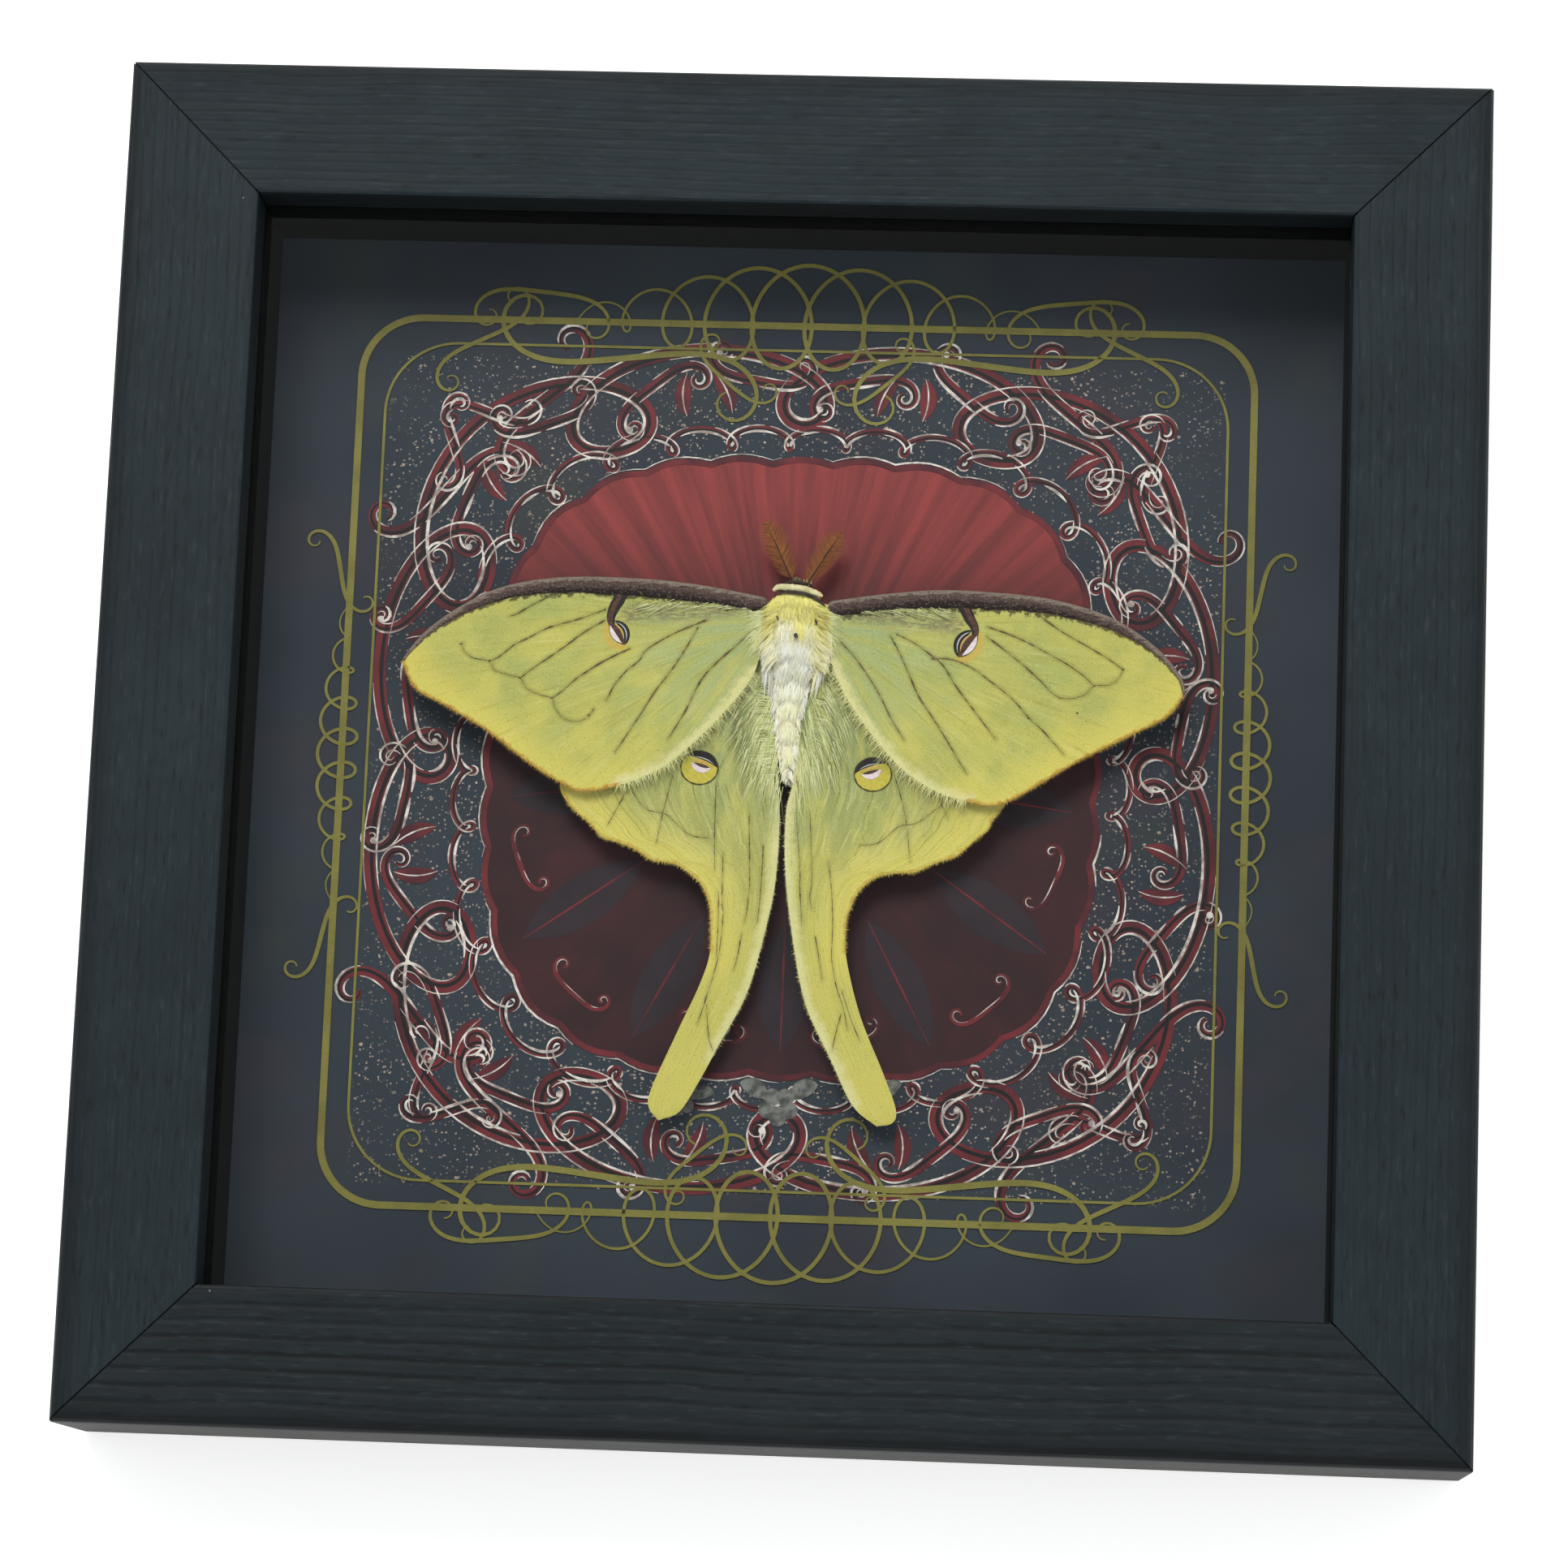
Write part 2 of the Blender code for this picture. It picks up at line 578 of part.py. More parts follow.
def build_moth(pin_hole, parts, cutters):
    build_body(pin_hole, parts, cutters)
    build_wing("forewing_left", FOREWING_LEFT, FOREWING_ROOT_HEIGHT, parts, cutters)
    build_wing("forewing_right", FOREWING_RIGHT, FOREWING_ROOT_HEIGHT, parts, cutters)
    build_wing("hindwing_left", HINDWING_LEFT, HINDWING_ROOT_HEIGHT, parts, cutters)
    build_wing("hindwing_right", HINDWING_RIGHT, HINDWING_ROOT_HEIGHT, parts, cutters)
    for side, sign in (("left", -1), ("right", 1)):
        build_antenna(side, parts, cutters)
        for pair, (hip_y, sweep) in LEGS.items():
            build_leg(f"leg_{pair}_{side}", sign, hip_y * MM, sweep * MM, parts)


def main():
    clear_scene()
    parts = new_collection("framed_moth_specimen")
    cutters = new_collection("cutters")
    rails = build_frame(parts, cutters)
    pin_hole = build_layers(parts, cutters)
    build_hanger(rails["top"], parts, cutters)
    build_moth(pin_hole, parts, cutters)


main()
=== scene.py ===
"""The looks of a moon moth mounted over a printed card, in a glazed box frame.

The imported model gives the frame, its layers and the moth's plain solids. This script dresses the wood, the
glass and the card, prints a plain generic ornament on the card, and builds the moth's wings, fur, feelers and
eyespots. Everything is in the model's own frame: the frame lies on its back with its face up, and the moth's
head points to +Y. Places are in millimetres until a mesh is made, which is in metres.
"""

import logging
import math
from dataclasses import dataclass, field, replace
from enum import Enum
from typing import Callable, ClassVar, Sequence

import bmesh
import bpy
import numpy as np
from mathutils import Matrix, Vector, noise


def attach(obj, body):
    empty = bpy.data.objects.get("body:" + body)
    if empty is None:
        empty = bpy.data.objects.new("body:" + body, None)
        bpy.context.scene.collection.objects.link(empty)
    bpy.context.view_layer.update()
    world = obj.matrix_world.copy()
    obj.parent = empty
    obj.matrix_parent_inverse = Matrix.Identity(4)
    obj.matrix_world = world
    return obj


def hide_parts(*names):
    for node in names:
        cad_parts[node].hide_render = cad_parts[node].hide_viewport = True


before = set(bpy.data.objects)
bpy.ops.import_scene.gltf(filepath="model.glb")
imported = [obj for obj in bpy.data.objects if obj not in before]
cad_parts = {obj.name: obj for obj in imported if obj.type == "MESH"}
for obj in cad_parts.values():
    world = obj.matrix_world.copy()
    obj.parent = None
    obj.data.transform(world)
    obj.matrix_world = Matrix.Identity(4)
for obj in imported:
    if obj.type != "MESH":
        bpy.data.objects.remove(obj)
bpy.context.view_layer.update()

LOG = logging.getLogger("framed_moth")
Pair = tuple[float, float]
Place = tuple[float, float, float]
Points = Sequence[Pair]
Colour = tuple[float, float, float, float]
Socket = bpy.types.NodeSocket
Material = bpy.types.Material
Surface = Callable[[float, float], float]

MM = 0.001
ROOT = "root"

# How close vertices are joined, in metres, and how sharply faces meet at an edge, in degrees.
WELD = 1e-6
RIM_ANGLE = 50

# A distance in millimetres that no wing's shading reaches.
FAR = 9.0

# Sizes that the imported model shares, in millimetres.
HALF = 88.9
SIGHT_HALF = 71.1
CARD_TOP = 3.9
BODY_AXIS_HEIGHT = 7.76
BODY_HEIGHT_RATIO = 0.92
ABDOMEN_START = 11.9
ABDOMEN_DROP = 1.0
ABDOMEN_LEAN = -0.5
FOREWING_ROOT = 9.0
HINDWING_ROOT = 7.7
WING_SPAN = 52.0
WING_CROWN = 0.5
WING_DROOP = 0.9
TAIL_START = -13.0
TAIL_LENGTH = 34.0
TAIL_DROP = 1.3

BODY_PROFILE = (
    (-2.2, 0.0), (-2.0, 0.4), (-1.0, 0.65), (1.0, 1.0), (2.9, 1.3), (4.9, 1.6), (6.9, 1.9),
    (8.9, 2.15), (10.6, 2.4), (11.9, 2.75), (13.2, 3.35), (15.0, 3.75), (17.2, 3.85), (19.2, 3.8),
    (20.9, 3.6), (22.2, 3.15), (23.0, 2.85), (23.9, 2.2), (24.7, 1.55), (25.3, 0.85), (25.6, 0.0),
)  # fmt: skip


class Side(Enum):
    """The moth's sides as the photo shows them, each with its direction along X."""

    LEFT = -1
    RIGHT = 1

    @property
    def word(self) -> str:
        """The side's name, as the pieces use it."""
        return self.name.lower()


class Axis(Enum):
    """An axis of the plan."""

    X = 0
    Y = 1


# Lines and meshes


def smooth_path(points: Points, steps: int = 10) -> np.ndarray:
    """A smooth line through a few points.

    Args:
        points: The points to pass, in millimetres.
        steps: How many pieces each stretch between two points is cut into.

    Returns:
        The line's points, one row each.
    """
    knots = np.array(points, float)
    padded = np.vstack((2 * knots[0] - knots[1], knots, 2 * knots[-1] - knots[-2]))
    share = np.linspace(0, 1, steps, endpoint=False)[:, None]
    pieces = []
    for before, start, end, after in zip(padded, padded[1:], padded[2:], padded[3:]):
        bend = 2 * before - 5 * start + 4 * end - after
        twist = 3 * start - before - 3 * end + after
        pieces.append(start + ((end - before) * share + bend * share**2 + twist * share**3) / 2)
    pieces.append(padded[-2:-1])
    return np.vstack(pieces)


def run_lengths(path: np.ndarray) -> np.ndarray:
    """How far along a line each of its points lies."""
    return np.concatenate(([0.0], np.cumsum(np.linalg.norm(np.diff(path, axis=0), axis=1))))


def even(path: np.ndarray, count: int) -> np.ndarray:
    """The same line with count points, evenly spaced along it.

    Args:
        path: The line's points.
        count: How many points the new line has.

    Returns:
        The new points.
    """
    runs = run_lengths(path)
    places = np.linspace(0, runs[-1], count)
    return np.stack([np.interp(places, runs, column) for column in path.T], axis=1)


def normals_of(path: np.ndarray) -> np.ndarray:
    """The unit vectors that point to the left of a line, one for each point.

    Args:
        path: The line's points.

    Returns:
        The vectors, one row each.
    """
    ahead = np.gradient(path, axis=0)
    if np.allclose(path[0], path[-1]):
        ahead[0] = ahead[-1] = path[1] - path[-2]
    ahead /= np.linalg.norm(ahead, axis=1, keepdims=True) + 1e-12
    return np.stack((-ahead[:, 1], ahead[:, 0]), axis=1)


def bow(start: Sequence[float], end: Sequence[float], rise: float, count: int = 21) -> np.ndarray:
    """A round arc between two points.

    Args:
        start: Where it starts.
        end: Where it ends.
        rise: How far its middle stands to the left of the straight line.
        count: How many points it has.

    Returns:
        The arc's points.
    """
    start, end = np.array(start, float), np.array(end, float)
    span = np.linalg.norm(end - start)
    ahead = (end - start) / span
    left = np.array((-ahead[1], ahead[0]))
    share = np.linspace(-1, 1, count)
    if abs(rise) < 1e-4:
        return start + (share[:, None] + 1) / 2 * (end - start)
    radius = (span**2 / 4 + rise**2) / (2 * abs(rise))
    reach = math.asin(min(1.0, span / 2 / radius))
    if abs(rise) > radius:
        reach = math.pi - reach
    turn = share * reach
    height = (np.cos(turn) - 1) * radius * math.copysign(1, rise) + rise
    return (start + end) / 2 + np.outer(np.sin(turn) * radius, ahead) + np.outer(height, left)


def cloud(x: float, y: float, z: float) -> float:
    """Smooth noise, mostly between -1 and 1, at a place."""
    return noise.noise(Vector((x, y, z)))


def heading(angle: float) -> np.ndarray:
    """The unit vector that points in a direction, in plan."""
    return np.array((math.cos(angle), math.sin(angle)))


def gap_to(places: np.ndarray, path: np.ndarray) -> np.ndarray:
    """How far each place lies from a line, in plan.

    Args:
        places: The places, one row each.
        path: The line's points.

    Returns:
        The distances.
    """
    best = np.full(len(places), 1e9)
    for start, end in zip(path, path[1:]):
        along = end - start
        share = np.clip((places - start) @ along / (along @ along + 1e-12), 0, 1)
        best = np.minimum(best, np.linalg.norm(places - start - share[:, None] * along, axis=1))
    return best


def map_grid(
    shape: bmesh.types.BMesh, columns: int, rows: int, place: Callable[[float, float], Sequence[float]]
) -> None:
    """Adds a grid to a bmesh and moves its vertices.

    Args:
        shape: The bmesh.
        columns: How many faces lie along u.
        rows: How many faces lie along v.
        place: Gives the place, in millimetres, of each u and v from 0 to 1.
    """
    if not shape.loops.layers.uv:
        shape.loops.layers.uv.new("UVMap")
    made = bmesh.ops.create_grid(shape, x_segments=columns, y_segments=rows, size=0.5, calc_uvs=True)
    for vertex in made["verts"]:
        vertex.co = Vector(place(vertex.co.x + 0.5, vertex.co.y + 0.5)) * MM


def face_up(shape: bmesh.types.BMesh) -> None:
    """Turns over the faces of flat sheets that look down."""
    shape.normal_update()
    bmesh.ops.reverse_faces(shape, faces=[face for face in shape.faces if face.normal.z < 0])


def add_piece(
    name: str,
    shape: bmesh.types.BMesh | bpy.types.Mesh,
    material: Material,
    replaced: Sequence[str] = (),
    sharp: bool = False,
) -> bpy.types.Object:
    """Makes a bmesh or a finished mesh a piece that rides on the root body.

    Args:
        name: The piece's name.
        shape: Its mesh. A bmesh is freed.
        material: Its finish.
        replaced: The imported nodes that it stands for.
        sharp: Whether its rims show as edges.

    Returns:
        The new object.
    """
    mesh = shape
    if isinstance(shape, bmesh.types.BMesh):
        mesh = bpy.data.meshes.new(name)
        shape.to_mesh(mesh)
        shape.free()
    mesh.materials.append(material)
    mesh.shade_smooth()
    if sharp:
        mesh.set_sharp_from_angle(angle=math.radians(RIM_ANGLE))
    obj = bpy.data.objects.new(name, mesh)
    bpy.context.scene.collection.objects.link(obj)
    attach(obj, ROOT)
    if replaced:
        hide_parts(*replaced)
    LOG.info("%s: %d faces", name, len(mesh.polygons))
    return obj


def mark(mesh: bpy.types.Mesh, name: str, values: np.ndarray) -> None:
    """Stores one number for each vertex, for a finish to read."""
    layer = mesh.attributes.new(name, "FLOAT", "POINT")
    layer.data.foreach_set("value", np.asarray(values, np.float32))


def plan_of(mesh: bpy.types.Mesh) -> np.ndarray:
    """The vertices' places in plan, in millimetres.

    Args:
        mesh: The mesh to read.

    Returns:
        X and Y, one row for each vertex.
    """
    places = np.empty(len(mesh.vertices) * 3, np.float32)
    mesh.vertices.foreach_get("co", places)
    return places.reshape(-1, 3)[:, :2].astype(float) / MM


def close_sheet(shape: bmesh.types.BMesh, thickness: float) -> None:
    """Makes a sheet that faces up a closed shell, whose underside lies a thickness in millimetres lower."""
    bmesh.ops.solidify(shape, geom=shape.faces[:], thickness=thickness * MM)
    bmesh.ops.recalc_face_normals(shape, faces=shape.faces)


def close_tube(shape: bmesh.types.BMesh) -> None:
    """Joins the seam of a tube, fills its ends and turns its faces outwards.

    Args:
        shape: The tube, open at both ends and along one seam.
    """
    bmesh.ops.remove_doubles(shape, verts=shape.verts, dist=WELD)
    bmesh.ops.holes_fill(shape, edges=[edge for edge in shape.edges if edge.is_boundary])
    bmesh.ops.recalc_face_normals(shape, faces=shape.faces)


# Finishes


def screen(red: float, green: float, blue: float) -> Colour:
    """The linear colour that a screen shows with these values, from 0 to 255.

    Args:
        red: The red value.
        green: The green one.
        blue: The blue one.

    Returns:
        The colour, opaque.
    """
    shares = (value / 255 for value in (red, green, blue))
    linear = [share / 12.92 if share <= 0.04045 else ((share + 0.055) / 1.055) ** 2.4 for share in shares]
    return (linear[0], linear[1], linear[2], 1.0)


class Nodes:
    """One material and its nodes, with a short call for each kind that the finishes share."""

    def __init__(self, name: str, **numbers: float) -> None:
        """Starts a Principled material.

        Args:
            name: The material's name.
            numbers: Constant values for the shader's sockets, with _ for a space in a socket's name.
        """
        self.material = bpy.data.materials.new(name)
        self.material.use_nodes = True
        self.tree = self.material.node_tree
        self.shader = self.tree.nodes["Principled BSDF"]
        self.place = self.add("ShaderNodeTexCoord").outputs["Object"]
        self.colour: object = None
        for socket, number in numbers.items():
            self.shader.inputs[socket.replace("_", " ")].default_value = number

    def feed(self, socket: Socket, value: object) -> None:
        """Joins a socket to another one, or sets it to a value.

        Args:
            socket: The socket that takes it.
            value: Another socket, a number or a colour.
        """
        if isinstance(value, Socket):
            self.tree.links.new(value, socket)
        else:
            socket.default_value = value

    def add(
        self, kind: str, inputs: dict[int | str, object] | None = None, **settings: object
    ) -> bpy.types.Node:
        """Adds a node.

        Args:
            kind: The node's type.
            inputs: What feeds its sockets.
            settings: Its other properties.

        Returns:
            The node.
        """
        node = self.tree.nodes.new(kind)
        for setting, value in settings.items():
            setattr(node, setting, value)
        for socket, value in (inputs or {}).items():
            self.feed(node.inputs[socket], value)
        return node

    def stretched(self, stretch: Sequence[float], where: Socket | None = None) -> Socket:
        """The place on the piece, or another vector, scaled along each axis."""
        inputs = {"Vector": where or self.place, "Scale": tuple(stretch)}
        return self.add("ShaderNodeMapping", inputs).outputs["Vector"]

    def noise(
        self, size: float, stretch: Sequence[float] = (1, 1, 1), detail: float = 3.0,
        where: Socket | None = None,
    ) -> Socket:
        """Cloudy noise from 0 to 1.

        Args:
            size: How wide its spots are, in millimetres, or in the vector's own unit over 1000.
            stretch: How much finer it is along each axis.
            detail: How many finer layers it has.
            where: The vector to read, if not the place on the piece.

        Returns:
            The noise.
        """
        inputs = {
            "Vector": self.stretched(stretch, where),
            "Scale": 1 / (size * MM),
            "Detail": detail,
            "Roughness": 0.55,
        }
        return self.add("ShaderNodeTexNoise", inputs).outputs["Fac"]

    def ramp(self, value: Socket, low: float, high: float, start: float = 0.0, end: float = 1.0) -> Socket:
        """A smooth step from start, where the value is low, to end, where it is high."""
        inputs = {"Value": value, 1: low, 2: high, 3: start, 4: end}
        return self.add("ShaderNodeMapRange", inputs, interpolation_type="SMOOTHSTEP").outputs[0]

    def math(self, operation: str, first: object, second: object = 0.0) -> Socket:
        """A sum, product or other operation on two numbers."""
        return self.add("ShaderNodeMath", {0: first, 1: second}, operation=operation).outputs[0]

    def times(self, first: object, second: object) -> Socket:
        """The product of two numbers."""
        return self.math("MULTIPLY", first, second)

    def plus(self, first: object, second: object) -> Socket:
        """The sum of two numbers."""
        return self.math("ADD", first, second)

    def blend(self, share: object, first: object, second: object) -> Socket:
        """A colour between two others."""
        return self.add("ShaderNodeMix", {0: share, 6: first, 7: second}, data_type="RGBA").outputs[2]

    def coat(self, share: object, tint: Colour) -> None:
        """Lays a tint over the colour as it is so far."""
        self.colour = self.blend(share, self.colour, tint)

    def mark(self, name: str) -> Socket:
        """A number stored on the mesh."""
        return self.add("ShaderNodeAttribute", attribute_name=name).outputs["Fac"]

    def vector(self, x: object, y: object) -> Socket:
        """A vector of two numbers in plan."""
        return self.add("ShaderNodeCombineXYZ", {0: x, 1: y}).outputs[0]

    def axes(self, where: Socket | None = None) -> tuple[Socket, Socket, Socket]:
        """The three parts of the place on the piece, in metres, or of another vector."""
        split = self.add("ShaderNodeSeparateXYZ", {0: where or self.place})
        return split.outputs[0], split.outputs[1], split.outputs[2]

    def ring(self) -> Socket:
        """How far a place lies from the middle of the frame, measured square, in metres."""
        x, y, _ = self.axes()
        return self.math("MAXIMUM", self.math("ABSOLUTE", x), self.math("ABSOLUTE", y))

    def relief(self, height: Socket, depth: float) -> None:
        """Gives the surface its fine relief, of a depth in millimetres."""
        bump = self.add("ShaderNodeBump", {"Height": height, "Distance": depth * MM})
        self.feed(self.shader.inputs["Normal"], bump.outputs[0])

    def finished(self, roughness: object | None = None) -> Material:
        """Joins the colour and the roughness to the shader.

        Args:
            roughness: What feeds the roughness, if anything does.

        Returns:
            The material.
        """
        self.feed(self.shader.inputs["Base Color"], self.colour)
        if roughness is not None:
            self.feed(self.shader.inputs["Roughness"], roughness)
        return self.material


@dataclass(frozen=True)
class PaintedWood:
    """Black paint over wood whose grain still shows, with painted shade on its inner lip and a darker outer
    edge.
    """

    name: str
    grain: Axis
    line_gap: float
    line_share: float
    depth: float
    line_reach: float = 0.34
    dark: Colour = screen(20, 30, 34)
    light: Colour = screen(27, 38, 43)
    seam: Colour = screen(9, 12, 13)
    pale: Colour = screen(46, 55, 60)
    thin: Colour = screen(60, 58, 49)

    def make(self) -> Material:
        """Builds the nodes.

        Returns:
            The material, with its grain along the rail.
        """
        nodes = Nodes(self.name, Specular_IOR_Level=0.16)
        along = 0.03
        stretch = (along, 1.0, 1.0) if self.grain is Axis.X else (1.0, along, 1.0)
        across = nodes.axes()[1 - self.grain.value]
        fibres = nodes.noise(0.35, stretch, 4.0)
        clouds = nodes.noise(14.0, (1, 1, 1), 3.0)
        sway = nodes.ramp(nodes.noise(16.0, (0.5, 0.5, 1), 1.0), 0.2, 0.8, -0.5 * MM, 0.5 * MM)
        across = nodes.plus(across, sway)
        beat = nodes.math("PINGPONG", across, self.line_gap / 2 * MM)
        lines = nodes.ramp(beat, 0.02 * MM, self.line_reach * MM)
        strength = nodes.ramp(nodes.noise(3.6, stretch, 2.0), 0.35, 0.65, 0.05, self.line_share)
        tone = nodes.plus(nodes.times(fibres, 0.5), nodes.times(clouds, 0.5))
        nodes.colour = nodes.blend(nodes.ramp(tone, 0.35, 0.65), self.dark, self.light)
        seams = nodes.times(nodes.math("SUBTRACT", 1.0, lines), strength)
        nodes.coat(seams, self.seam)
        short = (0.16, 1.0, 1.0) if self.grain is Axis.X else (1.0, 0.16, 1.0)
        pores = nodes.noise(0.5, short, 3.0)
        nodes.coat(nodes.ramp(pores, 0.44, 0.28, 0.0, 0.6), self.seam)
        nodes.coat(nodes.ramp(pores, 0.56, 0.74, 0.0, 0.4), self.pale)
        # The paint is darkened towards the outer edge, and painted shade darkens the inner lip by the opening,
        # where the wall falls in shade.
        ring = nodes.ring()
        outer = nodes.ramp(ring, (HALF - 4.0) * MM, (HALF - 0.5) * MM, 0.0, 0.55)
        inner = nodes.ramp(ring, (SIGHT_HALF + 0.35) * MM, (SIGHT_HALF + 0.1) * MM, 0.0, 0.6)
        nodes.coat(nodes.plus(outer, inner), self.seam)
        _, _, height = nodes.axes()
        worn = nodes.ramp(nodes.noise(1.1, stretch, 4.0), 0.42, 0.62, 0.25, 1.0)
        side = nodes.times(nodes.ramp(ring, (HALF - 0.12) * MM, (HALF - 0.02) * MM), worn)
        low = nodes.ramp(height, 23.0 * MM, 8.0 * MM, 0.1, 0.75)
        nodes.coat(nodes.times(side, low), self.thin)
        cells = nodes.add("ShaderNodeTexVoronoi", {"Vector": nodes.place, "Scale": 260.0})
        speck = nodes.ramp(cells.outputs["Distance"], 0.05, 0.025)
        chosen = nodes.ramp(nodes.axes(cells.outputs["Color"])[0], 0.975, 0.98)
        dust = nodes.times(nodes.times(speck, chosen), 0.4)
        nodes.coat(dust, screen(150, 152, 150))
        fine = nodes.plus(nodes.times(fibres, 0.3), nodes.times(pores, 0.3))
        nodes.relief(nodes.plus(fine, lines), self.depth)
        return nodes.finished(nodes.ramp(fibres, 0.2, 0.8, 0.5, 0.68))


@dataclass(frozen=True)
class Pane:
    """Clear float glass, seen through without a shift, with its own reflections."""

    tint: Colour = (0.975, 0.985, 0.98, 1.0)

    def make(self) -> Material:
        """Builds the nodes: it reflects on the side where light comes in, and lets the rest through.

        Returns:
            The material.
        """
        nodes = Nodes("clear_glass_pane")
        fresnel = nodes.add("ShaderNodeFresnel", {"IOR": 1.45}).outputs[0]
        inside = nodes.add("ShaderNodeNewGeometry").outputs["Backfacing"]
        share = nodes.times(fresnel, nodes.math("SUBTRACT", 1.0, inside))
        through = nodes.add("ShaderNodeBsdfTransparent", {"Color": self.tint}).outputs[0]
        gloss = nodes.add("ShaderNodeBsdfGlossy", {"Roughness": 0.02}).outputs[0]
        mixed = nodes.add("ShaderNodeMixShader", {0: share, 1: through, 2: gloss}).outputs[0]
        output = nodes.tree.nodes["Material Output"]
        nodes.feed(output.inputs["Surface"], mixed)
        nodes.tree.nodes.remove(nodes.shader)
        return nodes.material


@dataclass(frozen=True)
class SlateCard:
    """Smooth card printed slate blue, with cloudy tones and a dust of pale specks inside the border."""

    specks_half: float
    slate: Colour = screen(44, 53, 62)
    deep: Colour = screen(36, 44, 54)
    plum: Colour = screen(52, 47, 55)
    olive: Colour = screen(53, 57, 51)

    def make(self) -> Material:
        """Builds the nodes.

        Returns:
            The material, with the specks kept inside a square.
        """
        nodes = Nodes("printed_slate", Specular_IOR_Level=0.2)
        nodes.colour = nodes.blend(nodes.ramp(nodes.noise(34, detail=2), 0.35, 0.65), self.slate, self.deep)
        plum = nodes.ramp(nodes.noise(26, (1, 1.6, 1), 2), 0.5, 0.72, 0.0, 0.55)
        nodes.coat(plum, self.plum)
        olive = nodes.ramp(nodes.noise(21, (1.5, 1, 1), 2), 0.55, 0.75, 0.0, 0.45)
        nodes.coat(olive, self.olive)
        inside = nodes.ramp(nodes.ring(), self.specks_half * MM, (self.specks_half - 1) * MM)
        clusters = nodes.ramp(nodes.noise(7.0, detail=3), 0.35, 0.62, 0.25, 1.0)
        shift = nodes.vector(nodes.times(nodes.noise(0.5, detail=2), 0.6 * MM), 0.0)
        warped = nodes.add("ShaderNodeVectorMath", {0: nodes.place, 1: shift}).outputs[0]
        for cell, reach, share in ((0.42, 0.36, 0.70), (0.8, 0.24, 0.50), (1.7, 0.16, 0.35)):
            cells = nodes.add("ShaderNodeTexVoronoi", {"Vector": warped, "Scale": 1 / (cell * MM)})
            dot = nodes.ramp(cells.outputs["Distance"], reach, reach * 0.6)
            red, green, _ = nodes.axes(cells.outputs["Color"])
            shown = nodes.times(nodes.ramp(red, share, share + 0.02), inside)
            shown = nodes.times(shown, clusters)
            speck = nodes.times(dot, nodes.times(shown, nodes.ramp(green, 0, 1, 0.4, 1.0)))
            nodes.coat(speck, screen(182, 162, 146))
        nodes.relief(nodes.noise(0.12, detail=2), 0.01)
        return nodes.finished(0.55)


@dataclass(frozen=True)
class Ink:
    """A printed colour with a second tone in clouds, and a rayed third one towards its top if it has one."""

    name: str
    main: Colour
    other: Colour
    size: float = 6.0
    roughness: float = 0.5
    top: Colour | None = None
    top_from: float = 0.0
    top_to: float = 40.0

    def make(self) -> Material:
        """Builds the nodes.

        Returns:
            The material.
        """
        nodes = Nodes(self.name, Specular_IOR_Level=0.2)
        nodes.colour = nodes.blend(nodes.ramp(nodes.noise(self.size), 0.35, 0.65), self.main, self.other)
        if self.top:
            x, y, _ = nodes.axes()
            turn = nodes.times(nodes.math("ARCTAN2", x, y), 0.02)
            rays = nodes.noise(1.1, where=nodes.vector(turn, nodes.times(y, 0.03)))
            share = nodes.ramp(y, self.top_from * MM, self.top_to * MM)
            nodes.coat(share, self.top)
            nodes.coat(nodes.ramp(rays, 0.3, 0.7, 0.0, 0.5), screen(38, 18, 22))
        fine = nodes.noise(0.22, detail=2)
        nodes.coat(nodes.ramp(fine, 0.3, 0.7, 0.0, 0.16), screen(20, 20, 20))
        return nodes.finished(self.roughness)


@dataclass(frozen=True)
class PlainFinish:
    """A finish of two tones with fine grain, for linings, board, steel and horn."""

    name: str
    first: Colour
    second: Colour
    size: float
    roughness: Pair
    metallic: float = 0.0
    stretch: Place = (1.0, 1.0, 1.0)
    depth: float = 0.03
    gloss: float = 0.5

    def make(self) -> Material:
        """Builds the nodes.

        Returns:
            The material.
        """
        nodes = Nodes(self.name, Metallic=self.metallic, Specular_IOR_Level=self.gloss)
        tone = nodes.noise(self.size, self.stretch, 4.0)
        grain = nodes.noise(self.size / 12, self.stretch, 3.0)
        mixed = nodes.plus(nodes.times(tone, 0.6), nodes.times(grain, 0.4))
        nodes.relief(grain, self.depth)
        nodes.colour = nodes.blend(nodes.ramp(mixed, 0.35, 0.65), self.first, self.second)
        return nodes.finished(nodes.ramp(grain, 0.3, 0.7, *self.roughness))


